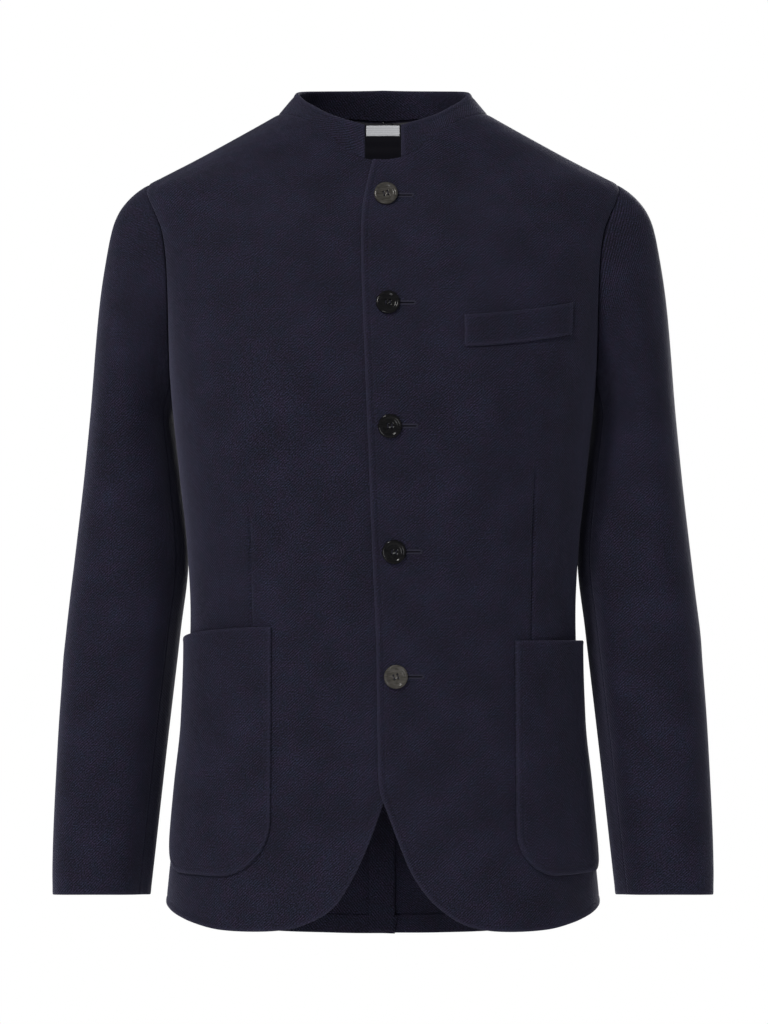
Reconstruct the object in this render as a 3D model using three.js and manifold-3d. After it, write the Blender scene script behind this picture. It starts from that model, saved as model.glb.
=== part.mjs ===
// Single-breasted twill jacket with a stand collar, five buttons, a chest welt, two patch pockets,
// rounded front corners and a centre back vent. It is hollow and keeps the shape it has when worn.
// Millimetres. +Z is up, +X is the wearer's left, the front faces -Y.
// The origin is the centre of the neck base, level with the back of the neck seam.

import * as THREE from 'three';
import { mergeVertices } from 'three/addons/utils/BufferGeometryUtils.js';
import Module from 'manifold-3d';

// Driving sizes
const CLOTH = 2;              // wall of the twill panels
const SEAM = 0.3;             // gap between two pieces that are sewn together
const NECK_HALF = 94;         // half width of the neck seam
const NECK_FRONT = 64;        // neck seam in front of the side line
const NECK_BACK = 62;         // neck seam behind the side line
const COLLAR_WALL = 3;        // two layers of twill with a stay between
const COLLAR_GAP_HALF = 16;   // half of the gap between the collar's ends
const COLLAR_TOP_HALF = 77;   // half width of the collar's rim
const COLLAR_TOP_FRONT = 51;
const COLLAR_TOP_BACK = 57;
const SHOULDER_TIP = -63;     // height of the shoulder tip
const UNDERARM = -252;        // height of the lowest point of the armhole
const ARMHOLE_REACH = 54;     // armhole's reach to front and back of its middle
const ARMHOLE_LEAN = 10;      // its lowest point lies this far behind the side line
const BICEP = -276;           // height where the sleeve becomes a plain tube
const CUFF = -699;
const LAP_INSET = 3.1;        // the right front lies this far inside the left one
const VENT_TOP = -530;
const VENT_LAP = 11;          // the right back runs this far under the left one
const BUTTON_RADIUS = 10.5;

// Level sections of the body: half width, reach to front and back, roundness (2 is an ellipse)
const BODY = [
  { z: 14, half: 68, front: 46, back: 59, round: 2.1 },
  { z: 0, half: 94, front: 52, back: 62, round: 2.15 },
  { z: -8, half: 108, front: 54, back: 64, round: 2.2 },
  { z: -22.5, half: 134, front: 58, back: 67, round: 2.25 },
  { z: -40.5, half: 167, front: 62.5, back: 71, round: 2.3 },
  { z: -58.5, half: 201.6, front: 70, back: 78, round: 2.45 },
  { z: -63, half: 210, front: 72, back: 80, round: 2.5 },
  { z: -72, half: 215, front: 77, back: 85, round: 2.6 },
  { z: -110, half: 204, front: 100, back: 102, round: 2.9 },
  { z: -173, half: 196, front: 120, back: 116, round: 3 },
  { z: -252, half: 190, front: 137, back: 118, round: 2.7 },
  { z: -330, half: 182, front: 134, back: 112, round: 2.5 },
  { z: -387, half: 176, front: 130, back: 107, round: 2.4 },
  { z: -450, half: 173, front: 126, back: 105, round: 2.4 },
  { z: -545, half: 177.5, front: 128, back: 110, round: 2.4 },
  { z: -600, half: 184, front: 130, back: 114, round: 2.4 },
  { z: -660, half: 190, front: 132, back: 118, round: 2.4 },
  { z: -750, half: 199, front: 135, back: 123, round: 2.4 },
];

// Level sections of the sleeve: outer and inner x, middle y, half depth
const SLEEVE = [
  { z: -276, outer: 263, inner: 190, y: 23, depth: 68 },
  { z: -330, outer: 268.6, inner: 183.4, y: 21, depth: 64 },
  { z: -400, outer: 276.6, inner: 177, y: 14, depth: 60 },
  { z: -463, outer: 283.4, inner: 183.4, y: 4, depth: 56 },
  { z: -571, outer: 290.4, inner: 195.4, y: -13, depth: 52 },
  { z: -679, outer: 293.8, inner: 207, y: -27, depth: 46 },
  { z: -699, outer: 293.2, inner: 209.2, y: -30, depth: 44.5 },
];
const SLEEVE_ROUND = 2.15;
const SLEEVE_SKEW = 8;        // the inside of the sleeve tucks in behind the body's side
const CUFF_SLANT = 0.08;      // the cuff is higher in front, square to the forearm

// Front edges from the neck over the rounded corner to the hem: distance past the centre line
// towards the panel's own side, and height
const LEFT_EDGE = [
  { s: -8.9, z: -45 }, { s: -15, z: -69 }, { s: -18.5, z: -92 }, { s: -19.2, z: -130 },
  { s: -16.5, z: -208 }, { s: -13, z: -295 }, { s: -9.6, z: -386 }, { s: -6, z: -469 },
  { s: -4.6, z: -560 }, { s: -2.8, z: -600 }, { s: 4.4, z: -621 }, { s: 13, z: -644 },
  { s: 26, z: -674 }, { s: 43.5, z: -697.5 }, { s: 67, z: -715 }, { s: 92, z: -722.5 },
];
const RIGHT_EDGE = [
  { s: -22, z: -45 }, { s: -24, z: -170 }, { s: -25, z: -330 }, { s: -23.5, z: -497 },
  { s: -17.4, z: -551 }, { s: -4.3, z: -599 }, { s: 4.4, z: -625 }, { s: 13.9, z: -650 },
  { s: 27.8, z: -679 }, { s: 44.4, z: -703 }, { s: 70, z: -717.5 }, { s: 92, z: -722.5 },
];
const FRONT_HEM = [{ s: 148, z: -723.8 }, { s: 182, z: -719.2 }, { s: 205, z: -715 }, { s: 243, z: -709 }];
const BACK_HEM = [{ fromCentre: 180, z: -731 }, { fromCentre: 110, z: -743.5 }, { fromCentre: 50, z: -747 }];
const SIDE_HEM = -706;
const CENTRE_BACK_HEM = -747.4;

// How far the side seam runs behind the side line
const SIDE_SEAM = [
  { z: UNDERARM, behind: ARMHOLE_LEAN },
  { z: -330, behind: 20 },
  { z: -450, behind: 28 },
  { z: -750, behind: 32 },
];

// Soft folds: side (1 left, -1 right), middle s and z, half length, half width, tilt from level, height
const FOLDS = [
  { side: -1, s: 66, z: -318, long: 90, wide: 15, tilt: -72, out: -2.2 },
  { side: -1, s: 104, z: -262, long: 80, wide: 20, tilt: -60, out: 1.8 },
  { side: 1, s: 52, z: -262, long: 80, wide: 18, tilt: 72, out: -1.6 },
  { side: 1, s: 92, z: -300, long: 90, wide: 22, tilt: 76, out: 1.4 },
  { side: -1, s: 52, z: -560, long: 110, wide: 20, tilt: 80, out: -1.8 },
  { side: 1, s: 60, z: -565, long: 110, wide: 22, tilt: 80, out: -1.6 },
  { side: -1, s: 150, z: -90, long: 60, wide: 22, tilt: -30, out: -1.5 },
  { side: 1, s: 150, z: -90, long: 60, wide: 22, tilt: -30, out: -1.5 },
  { side: 1, s: 440, z: -420, long: 60, wide: 16, tilt: 8, out: -2 },
  { side: -1, s: 430, z: -440, long: 60, wide: 16, tilt: -10, out: -2 },
  { side: 1, s: 420, z: -200, long: 80, wide: 24, tilt: 62, out: 1.8 },
  { side: -1, s: 415, z: -210, long: 80, wide: 24, tilt: 58, out: 1.6 },
  { side: 1, s: 450, z: -600, long: 110, wide: 26, tilt: 86, out: 1.6 },
  { side: -1, s: 455, z: -610, long: 110, wide: 26, tilt: 86, out: 1.6 },
];

// Soft folds of the sleeves: angle round the sleeve (0 outer, 90 front), height, half sizes, height of the fold
const SLEEVE_FOLDS = [
  { side: 1, angle: 70, z: -430, round: 34, tall: 16, out: -2.2 },
  { side: 1, angle: 60, z: -470, round: 40, tall: 18, out: 1.6 },
  { side: 1, angle: 300, z: -500, round: 36, tall: 18, out: -1.8 },
  { side: -1, angle: 75, z: -445, round: 36, tall: 17, out: -2 },
  { side: -1, angle: 62, z: -488, round: 40, tall: 18, out: 1.6 },
  { side: -1, angle: 295, z: -520, round: 36, tall: 18, out: -1.8 },
];

// Grid steps
const STEPS = {
  armholeHalf: 13, side: 14, frontLap: 2, neckQuarter: 6, shoulder: 6,
  sleeveHead: 8, sleeveTube: 10, collarTall: 3, arc: 48,
};
const SLEEVE_SEAM_FRONT = 11;   // armhole step where the front sleeve seam starts
const SLEEVE_SEAM_BACK = 18;   // armhole step where the back sleeve seam starts

const degrees = THREE.MathUtils.degToRad;
const mix = THREE.MathUtils.lerp;
const vec = (x, y, z) => new THREE.Vector3(x, y, z);
const steps = (count, from = 0, to = 1) => (
  Array.from({ length: count + 1 }, (_, i) => mix(from, to, i / count)));

// Smooth value of one column of a table whose rows go down in z, with no overshoot between rows
function column(rows, name, z) {
  let i = 0;
  while (i < rows.length - 2 && z < rows[i + 1].z) i += 1;
  const slope = (k) => (rows[k + 1][name] - rows[k][name]) / (rows[k + 1].z - rows[k].z);
  const bend = (k) => {
    if (k <= 0) return slope(0);
    if (k >= rows.length - 1) return slope(rows.length - 2);
    const [before, after] = [slope(k - 1), slope(k)];
    if (before * after <= 0) return 0;
    return (2 * before * after) / (before + after);
  };
  const [top, low] = [rows[i], rows[i + 1]];
  if (z > top.z) return top[name] + (z - top.z) * bend(i);
  if (z < low.z) return low[name] + (z - low.z) * bend(i + 1);
  const span = low.z - top.z;
  const t = (z - top.z) / span;
  return top[name] * (1 + 2 * t) * (1 - t) ** 2 + low[name] * t * t * (3 - 2 * t)
    + span * (bend(i) * t * (1 - t) ** 2 - bend(i + 1) * t * t * (1 - t));
}

// One level section of the body. s is the length round it from the centre front, over the wearer's
// left side, to the centre back.
const sections = new Map();
function section(z) {
  if (sections.has(z)) return sections.get(z);
  const [half, front, back, round] = ['half', 'front', 'back', 'round'].map((name) => column(BODY, name, z));
  const at = (angle) => {
    const [across, along] = [Math.sin(angle), Math.cos(angle)];
    const depth = along > 0 ? front : back;
    const reach = ((across / half) ** round + (Math.abs(along) / depth) ** round) ** (-1 / round);
    return [reach * across, -reach * along];
  };
  const angles = steps(2 * STEPS.arc, 0, Math.PI);
  const lengths = [0];
  for (let i = 1; i < angles.length; i += 1) {
    const [[x0, y0], [x1, y1]] = [at(angles[i - 1]), at(angles[i])];
    lengths.push(lengths[i - 1] + Math.hypot(x1 - x0, y1 - y0));
  }
  const made = { half, front, back, round, at, angles, lengths, side: lengths[STEPS.arc], end: lengths.at(-1) };
  sections.set(z, made);
  return made;
}

// Reads a value off two rising lists, straight between their entries
function lookUp(from, to, value) {
  let i = 0;
  while (i < from.length - 2 && value > from[i + 1]) i += 1;
  return mix(to[i], to[i + 1], (value - from[i]) / (from[i + 1] - from[i]));
}

// Point of the plain body surface; s may pass either centre line onto the other side
function surface(s, z) {
  const ring = section(z);
  const mirrored = s < 0 || s > ring.end;
  const inside = s < 0 ? -s : Math.min(s, 2 * ring.end - s);
  const [x, y] = ring.at(lookUp(ring.lengths, ring.angles, inside));
  return vec(mirrored ? -x : x, y, z);
}

function surfaceNormal(s, z) {
  const nearby = 1.5;
  const round = surface(s + nearby, z).sub(surface(s - nearby, z));
  const up = surface(s, z + nearby).sub(surface(s, z - nearby));
  return round.cross(up).normalize();
}

// Length s of the point in plan direction (x, y) on the section at z
function lengthAt(x, y, z) {
  const ring = section(z);
  const s = lookUp(ring.angles, ring.lengths, Math.atan2(Math.abs(x), -y));
  return x < 0 ? -s : s;
}

// How far the worn cloth stands off the plain surface: its folds, and where it runs under the other side
const rise = (from, to, value) => THREE.MathUtils.smoothstep(value, from, to);
function standOff(side, s, z) {
  let out = 0;
  for (const fold of FOLDS) {
    if (fold.side !== side) continue;
    const tilt = degrees(fold.tilt);
    const along = (s - fold.s) * Math.cos(tilt) + (z - fold.z) * Math.sin(tilt);
    const across = (z - fold.z) * Math.cos(tilt) - (s - fold.s) * Math.sin(tilt);
    out += fold.out * Math.exp(-((along / fold.long) ** 2) - (across / fold.wide) ** 2);
  }
  if (side > 0) return out;
  const { end } = section(z);
  const underFront = (1 - rise(23, 80, s)) * rise(-690, -630, z);
  const underBack = rise(end - 60, end - 14, s) * rise(485, 520, -z);
  return out - LAP_INSET * (underFront + underBack);
}

// A point of the worn cloth on one side of the body, moved out along the surface's normal
const toSide = (side, point) => vec(side * point.x, point.y, point.z);
function cloth(side, s, z, out = 0) {
  const point = surface(s, z).addScaledVector(surfaceNormal(s, z), standOff(side, s, z) + out);
  return toSide(side, point);
}

// A closed wall from two grids of points, its two faces, joined by four rims and facing out
function wall(outer, inner) {
  const [rows, columns] = [outer.length - 1, outer[0].length - 1];
  const points = [...outer.flat(), ...inner.flat()];
  const at = (face, r, c) => (face * (rows + 1) + r) * (columns + 1) + c;
  const triangles = [];
  const quad = (a, b, c, d) => triangles.push([a, b, c], [a, c, d]);
  const apart = (a, b) => points[a].distanceTo(points[b]);
  for (let r = 0; r < rows; r += 1) {
    for (let c = 0; c < columns; c += 1) {
      const [a, b, d, e] = [at(0, r, c), at(0, r + 1, c), at(0, r + 1, c + 1), at(0, r, c + 1)];
      const under = at(1, 0, 0);
      if (apart(a, d) <= apart(b, e)) {
        quad(a, b, d, e);
        quad(under + a, under + e, under + d, under + b);
      } else {
        quad(b, d, e, a);
        quad(under + b, under + a, under + e, under + d);
      }
    }
    quad(at(0, r + 1, 0), at(0, r, 0), at(1, r, 0), at(1, r + 1, 0));
    quad(at(0, r, columns), at(0, r + 1, columns), at(1, r + 1, columns), at(1, r, columns));
  }
  for (let c = 0; c < columns; c += 1) {
    quad(at(0, 0, c), at(0, 0, c + 1), at(1, 0, c + 1), at(1, 0, c));
    quad(at(0, rows, c + 1), at(0, rows, c), at(1, rows, c), at(1, rows, c + 1));
  }
  const volume = triangles.reduce((sum, [a, b, c]) => (
    sum + points[a].dot(points[b].clone().cross(points[c]))), 0);
  const facing = volume > 0 ? triangles : triangles.map(([a, b, c]) => [a, c, b]);
  const geometry = new THREE.BufferGeometry().setFromPoints(points);
  geometry.setIndex(facing.flat());
  geometry.computeVertexNormals();
  return geometry;
}

// A panel of the body from a grid of { s, z } places
function panelWall(side, grid) {
  const face = (out) => grid.map((row) => row.map(({ s, z }) => cloth(side, s, z, out)));
  return wall(face(0), face(-CLOTH));
}

// Fills a grid of { s, z } between four edges; the first and last entries of the edges are shared corners
function fillGrid({ top, bottom, left, right }) {
  const shares = (edge) => {
    const lengths = [0];
    for (let i = 1; i < edge.length; i += 1) {
      lengths.push(lengths[i - 1] + Math.hypot(edge[i].s - edge[i - 1].s, edge[i].z - edge[i - 1].z));
    }
    return lengths.map((length) => length / lengths.at(-1));
  };
  const [acrossTop, acrossLow, downLeft, downRight] = [top, bottom, left, right].map(shares);
  return left.map((leftPoint, r) => top.map((topPoint, c) => {
    const down = mix(downLeft[r], downRight[r], c / (top.length - 1));
    const over = mix(acrossTop[c], acrossLow[c], r / (left.length - 1));
    const blend = (name) => mix(topPoint[name], bottom[c][name], down)
      + mix(leftPoint[name], right[r][name], over)
      - mix(mix(top[0][name], top.at(-1)[name], over), mix(bottom[0][name], bottom.at(-1)[name], over), down);
    return { s: blend('s'), z: blend('z') };
  }));
}

// Neck seam: an oval in plan, laid on the body. The angle runs from the centre front to the centre back.
const neckAngle = (x) => Math.asin(x / NECK_HALF);
function neckPoint(angle) {
  const x = NECK_HALF * Math.sin(angle);
  const y = -Math.cos(angle) * (Math.cos(angle) > 0 ? NECK_FRONT : NECK_BACK);
  let [low, high] = [-80, 12];
  for (let i = 0; i < 40; i += 1) {
    const z = (low + high) / 2;
    const { half, front, back, round } = section(z);
    const depth = y < 0 ? front : back;
    const outside = (Math.abs(x) / half) ** round + (Math.abs(y) / depth) ** round > 1;
    if (outside) high = z;
    else low = z;
  }
  return { s: lengthAt(x, y, low), z: low };
}

// Armhole: an upright oval seen from the side, laid on the body. The angle runs from the shoulder tip
// over the front to the underarm and up the back.
const ARMHOLE_STEPS = 2 * STEPS.armholeHalf;
const armholeAngle = (step) => 2 * Math.PI * step / ARMHOLE_STEPS;
function placeBehind(y, z) {
  const { half, front, back, round } = section(z);
  const depth = y < 0 ? front : back;
  return { s: lengthAt(half * (1 - (Math.abs(y) / depth) ** round) ** (1 / round), y, z), z };
}
function armholePoint(angle) {
  const middle = (SHOULDER_TIP + UNDERARM) / 2;
  const z = middle + (SHOULDER_TIP - middle) * Math.cos(angle);
  const y = ARMHOLE_LEAN * (1 - Math.cos(angle)) / 2 - ARMHOLE_REACH * Math.sin(angle);
  return placeBehind(y, z);
}

const shift = ({ s, z }, by) => ({ s: s + by, z });
const shoulderSeam = steps(STEPS.shoulder, 0, SHOULDER_TIP).map((z) => ({ s: section(z).side, z }));
const sideSeam = steps(STEPS.side, UNDERARM, SIDE_HEM).map((z) => (
  placeBehind(column(SIDE_SEAM, 'behind', z), z)));

// A smooth line through { s, z } places, read at shares of its length
function smoothLine(places) {
  const curve = new THREE.CatmullRomCurve3(places.map(({ s, z }) => vec(s, z, 0)), false, 'centripetal');
  curve.arcLengthDivisions = 800;
  return (share) => {
    const point = curve.getPointAt(THREE.MathUtils.clamp(share, 0, 1));
    return { s: point.x, z: point.y };
  };
}

// Front panel: its edge and rounded corner, hem, side seam, armhole, shoulder seam and neckline
const COLLAR_END = neckAngle(COLLAR_GAP_HALF);
const CORNER_MIDDLE = -690;     // the grid's lower corner sits here on the rounded edge
const ARMHOLE_SHARE = 0.31;     // share of the front edge beside the armhole
const EDGE_CROWDING = 1.25;     // rows and columns draw closer together towards the rounded corner
const HEM_CROWDING = 1.2;
function frontGrid(edge) {
  const edgeAngle = neckAngle(edge[0].s);
  const neckline = [
    ...steps(STEPS.frontLap, edgeAngle, COLLAR_END).slice(0, -1),
    ...steps(STEPS.neckQuarter, COLLAR_END, Math.PI / 2),
  ].map(neckPoint);
  const top = [...neckline.slice(0, -1), ...shoulderSeam.map((place) => shift(place, -SEAM / 2))];
  const armhole = steps(STEPS.armholeHalf, 0, Math.PI).map(armholePoint);
  const right = [top.at(-1), ...armhole.slice(1, -1), ...sideSeam.map((place) => shift(place, -SEAM / 2))];
  const line = smoothLine([neckline[0], ...edge.slice(1), ...FRONT_HEM, right.at(-1)]);
  let corner = 0.5;
  while (line(corner).z > CORNER_MIDDLE) corner += 0.001;
  const left = right.map((_, r) => {
    const below = (r - STEPS.armholeHalf) / STEPS.side;
    const share = below < 0 ? ARMHOLE_SHARE * (1 + below * STEPS.side / STEPS.armholeHalf)
      : mix(ARMHOLE_SHARE, 1, 1 - (1 - below) ** EDGE_CROWDING);
    return line(corner * share);
  });
  const bottom = top.map((_, c) => line(mix(corner, 1, (c / (top.length - 1)) ** HEM_CROWDING)));
  return fillGrid({ top, bottom, left, right });
}

// Back panel, from the centre back to the side; the right one runs on under the left one below the vent
function backGrid(pastCentre) {
  const neckline = steps(STEPS.neckQuarter, Math.PI, Math.PI / 2).map(neckPoint);
  const centre = ({ z }) => ({ s: section(z).end - SEAM / 2 + (z < VENT_TOP ? pastCentre : 0), z });
  const top = [
    centre(neckline[0]), ...neckline.slice(1, -1), ...shoulderSeam.map((place) => shift(place, SEAM / 2)),
  ];
  const armhole = steps(STEPS.armholeHalf, 2 * Math.PI, Math.PI).map(armholePoint);
  const right = [top.at(-1), ...armhole.slice(1, -1), ...sideSeam.map((place) => shift(place, SEAM / 2))];
  const heights = [
    ...steps(STEPS.armholeHalf, neckline[0].z, -246),
    ...steps(6, -246, VENT_TOP + 40).slice(1),
    VENT_TOP + 6,
    ...steps(6, VENT_TOP - 6, CENTRE_BACK_HEM),
  ];
  const left = heights.map((z) => centre({ z }));
  const hem = BACK_HEM.map(({ fromCentre, z }) => ({ s: section(z).end - fromCentre, z })).reverse();
  const line = smoothLine([left.at(-1), ...hem, right.at(-1)]);
  const bottom = top.map((_, c) => line(c / (top.length - 1)));
  return fillGrid({ top, bottom, left, right });
}

// Gap of a piece that is seated on the rim of a hole, from the way it leaves the rim
const SEAT = SEAM + 0.05;
function seatGap(leaving, intoHole, normal) {
  const turn = Math.atan2(leaving.dot(normal), leaving.dot(intoHole)) / 2;
  return intoHole.clone().multiplyScalar(SEAT * Math.cos(turn)).addScaledVector(normal, SEAT * Math.sin(turn));
}

// Sleeve surface for the wearer's left arm. down runs 0 to 1 over the sleeve head and 1 to 2 down the tube;
// the angle runs from the outside over the front to the inside and back.
function sleeveSection(angle, z) {
  const [outer, inner, y, depth] = ['outer', 'inner', 'y', 'depth'].map((name) => column(SLEEVE, name, z));
  const [x, front] = [Math.cos(angle), Math.sin(angle)];
  const half = (outer - inner) / 2;
  const reach = (Math.abs(x) ** SLEEVE_ROUND + Math.abs(front) ** SLEEVE_ROUND) ** (-1 / SLEEVE_ROUND);
  const slant = CUFF_SLANT * depth * front * rise(BICEP, CUFF, z);
  const across = (outer + inner) / 2 + half * reach * x + SLEEVE_SKEW * front;
  return vec(across, y - depth * reach * front, z + slant);
}
const HEAD_TILT = degrees(64);    // how far from straight down the cloth leaves the shoulder tip
function sleevePath(angle) {
  const { s, z } = armholePoint(angle);
  const start = surface(s, z);
  const end = sleeveSection(angle, BICEP);
  const height = (z - UNDERARM) / (SHOULDER_TIP - UNDERARM);
  const tilt = HEAD_TILT * Math.max(height, 0) ** 0.6;
  const leave = vec(Math.sin(tilt), 0, -Math.cos(tilt));
  const arrive = sleeveSection(angle, BICEP - 10).sub(end).normalize();
  return { start, end, leave, arrive, reach: start.distanceTo(end) };
}
function sleeveSeat(angle, path) {
  const { s, z } = armholePoint(angle);
  const normal = surfaceNormal(s, z);
  const nearby = 0.05;
  const [before, after] = [angle - nearby, angle + nearby].map(armholePoint).map((at) => surface(at.s, at.z));
  const intoHole = after.sub(before).cross(normal).normalize();
  const middleHeight = (SHOULDER_TIP + UNDERARM) / 2;
  const middle = surface(section(middleHeight).side, middleHeight);
  if (intoHole.dot(middle.sub(path.start)) < 0) intoHole.negate();
  return seatGap(path.leave, intoHole, normal);
}
function sleeveSurface(down, angle) {
  if (down > 1) return sleeveSection(angle, mix(BICEP, CUFF, down - 1));
  const path = sleevePath(angle);
  const [pullStart, pullEnd] = [0.7 * path.reach, 1.18 * path.reach];
  const t = down;
  const point = path.start.clone().multiplyScalar((1 + 2 * t) * (1 - t) ** 2)
    .addScaledVector(path.leave, pullStart * t * (1 - t) ** 2)
    .addScaledVector(path.end, t * t * (3 - 2 * t))
    .addScaledVector(path.arrive, pullEnd * t * t * (t - 1));
  return point.addScaledVector(sleeveSeat(angle, path), 1 - t);
}
const HEAD_EASE = 3;          // fullness of the sleeve head below the shoulder seam
function sleeveStandOff(side, down, angle, z) {
  let out = HEAD_EASE * Math.max(Math.cos(angle), 0) * Math.exp(-(((down - 0.24) / 0.13) ** 2));
  for (const fold of SLEEVE_FOLDS) {
    if (fold.side !== side || down < 1) continue;
    const turn = ((THREE.MathUtils.radToDeg(angle) - fold.angle + 540) % 360) - 180;
    out += fold.out * Math.exp(-((turn / fold.round) ** 2) - ((z - fold.z) / fold.tall) ** 2);
  }
  return out;
}
function sleeveWall(side, fromStep, toStep) {
  const trim = 0.003;     // radians, half of the gap at a sleeve seam
  const count = toStep - fromStep;
  const angles = steps(count, armholeAngle(fromStep) + trim, armholeAngle(toStep) - trim);
  const downs = [...steps(STEPS.sleeveHead), ...steps(STEPS.sleeveTube, 1, 2).slice(1)];
  const faces = [0, -CLOTH].map((out) => downs.map((down) => angles.map((angle) => {
    const nearby = 0.01;
    const point = sleeveSurface(down, angle);
    const round = sleeveSurface(down, angle + nearby).sub(sleeveSurface(down, angle - nearby));
    const [above, below] = [Math.max(down - nearby, 0), Math.min(down + nearby, 2)];
    const along = sleeveSurface(below, angle).sub(sleeveSurface(above, angle));
    const normal = round.cross(along).normalize();
    return toSide(side, point.addScaledVector(normal, sleeveStandOff(side, down, angle, point.z) + out));
  })));
  return wall(...faces);
}

// Stand collar, from its left end round the back to its right end
const COLLAR_TOP = [
  { z: -12, rim: -12.6 }, { z: -38, rim: -2 }, { z: -55, rim: 7 },
  { z: -90, rim: 20.5 }, { z: -135, rim: 25.5 }, { z: -180, rim: 27.5 },
];
function collarWall() {
  const quarter = (from, to) => steps(STEPS.neckQuarter, from, to);
  const topEnd = Math.asin(COLLAR_GAP_HALF / COLLAR_TOP_HALF);
  const halfTurn = [...quarter(COLLAR_END, Math.PI / 2), ...quarter(Math.PI / 2, Math.PI).slice(1)];
  const halfTop = [...quarter(topEnd, Math.PI / 2), ...quarter(Math.PI / 2, Math.PI).slice(1)];
  const posts = (side) => halfTurn.map((angle, i) => {
    const { s, z } = neckPoint(angle);
    const turn = halfTop[i];
    const reach = Math.cos(turn) > 0 ? COLLAR_TOP_FRONT : COLLAR_TOP_BACK;
    const rim = column(COLLAR_TOP, 'rim', -THREE.MathUtils.radToDeg(turn));
    const top = vec(COLLAR_TOP_HALF * Math.sin(turn), -reach * Math.cos(turn), rim);
    return { base: cloth(side, s, z), normal: toSide(side, surfaceNormal(s, z)), top: toSide(side, top) };
  });
  const row = [...posts(1), ...posts(-1).reverse().slice(1)];
  const seated = row.map(({ base, normal, top }, i) => {
    const [before, after] = [row[Math.max(i - 1, 0)], row[Math.min(i + 1, row.length - 1)]];
    const round = after.base.clone().sub(before.base).add(after.top).sub(before.top);
    const up = top.clone().sub(base).normalize();
    const facing = round.clone().cross(up).normalize();
    if (facing.x * base.x + facing.y * base.y < 0) facing.negate();
    const intoHole = after.base.clone().sub(before.base).cross(normal).normalize();
    if (intoHole.dot(up) < 0) intoHole.negate();
    return { base: base.clone().add(seatGap(up, intoHole, normal)), top, facing, normal };
  });
  // The lower rim lies along the neckline's rim, so there the wall follows the body's normal
  const faces = [0, -COLLAR_WALL].map((out) => steps(STEPS.collarTall).map((share) => (
    seated.map(({ base, top, facing, normal }) => (
      base.clone().lerp(top, share).addScaledVector(share === 0 ? normal : facing, out))))));
  return wall(...faces);
}

// Patch pocket: sewn on at its sides and round lower edge, its mouth standing a little open
const POCKETS = [
  {
    name: 'pocket_right', side: -1, from: 99, width: 152,
    mouthFront: -457.5, mouthBack: -473, bottom: -677, corner: 52,
  },
  {
    name: 'pocket_left', side: 1, from: 119, width: 148,
    mouthFront: -470, mouthBack: -474, bottom: -677, corner: 42,
  },
];
const POCKET_WALL = 3;
const POCKET_LIFT = 0.8;      // clear of the flat facets of the front below it
const POCKET_GAPE = 3.1;
function pocketWall({ side, from, width, mouthFront, mouthBack, bottom, corner }) {
  const roundSteps = 4;
  const heights = [
    ...steps(6, 1, 0).slice(0, -1).map((share) => ({ share })),
    ...steps(roundSteps, 0, 90).map((turn) => ({ share: 0, above: corner * (1 - Math.sin(degrees(turn))) })),
  ];
  const grid = heights.map(({ share, above = corner }) => steps(8).map((over) => {
    const inset = corner - Math.sqrt(Math.max(corner ** 2 - (corner - above) ** 2, 0));
    const mouth = mix(mouthFront, mouthBack, over ** 1.5);
    const gape = POCKET_GAPE * share ** 2 * Math.sin(Math.PI * 0.8 * over);
    return {
      s: from + inset + over * (width - 2 * inset),
      z: mix(bottom + above, mouth, share),
      lift: POCKET_LIFT + gape,
    };
  }));
  return patchWall(side, grid, POCKET_WALL);
}
function patchWall(side, grid, thick) {
  const face = (out) => grid.map((row) => row.map(({ s, z, lift }) => cloth(side, s, z, lift + out)));
  return wall(face(thick), face(0));
}

// Chest welt: a narrow folded strip, rising towards the armhole
const WELT = { front: 71.5, width: 101, lowFront: -213, lowBack: -201, tall: 28, wall: 2.5, lift: 0.6 };
function weltWall() {
  const grid = steps(2, 1, 0).map((up) => steps(8).map((over) => ({
    s: WELT.front + over * WELT.width,
    z: mix(WELT.lowFront, WELT.lowBack, over ** 1.6) + up * WELT.tall,
    lift: WELT.lift,
  })));
  return patchWall(1, grid, WELT.wall);
}

// Inside the upper back: a black lining against the two back panels, and a label at the neck
const LINING = { wall: 1, rows: 7, columns: 9 };   // grid lines of the back panel that it follows
const LABEL = { half: 15.5, top: -3.4, bottom: -13, wall: 0.8, lift: 0.8 };
const liningDepth = -CLOTH - SEAT;
function liningWall(grid) {
  const faces = [liningDepth, liningDepth - LINING.wall].map((out) => grid.slice(0, LINING.rows).map((row) => {
    const half = (side) => row.slice(0, LINING.columns).map(({ s, z }, c) => (
      cloth(side, c === 0 ? section(z).end : s, z, out)));
    return [...half(1).reverse(), ...half(-1).slice(1)];
  }));
  return wall(...faces);
}
function labelWall() {
  const depth = liningDepth - LINING.wall - LABEL.lift;
  const faces = [depth, depth - LABEL.wall].map((out) => [LABEL.top, LABEL.bottom].map((z) => (
    steps(4, -LABEL.half, LABEL.half).map((x) => cloth(1, section(z).end + x, z, out)))));
  return wall(...faces);
}

// Buttons: a dished round with a raised rim and four holes, on the left front
const BUTTONS = [
  { s: 2.6, z: -78 }, { s: 4.4, z: -174.6 }, { s: 6.1, z: -282.5 }, { s: 9.6, z: -392 }, { s: 11.3, z: -501 },
];
const BUTTON_PROFILE = [
  { radius: 0, height: 0 }, { radius: 8.6, height: 0 }, { radius: 10.1, height: 0.8 },
  { radius: BUTTON_RADIUS, height: 1.8 }, { radius: 9.7, height: 2.9 }, { radius: 8.4, height: 3 },
  { radius: 7.2, height: 2.2 }, { radius: 0, height: 2 },
];
const HOLE_RADIUS = 0.9;
const HOLE_OFFSET = 1.8;
const wasm = await Module();
wasm.setup();

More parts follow.
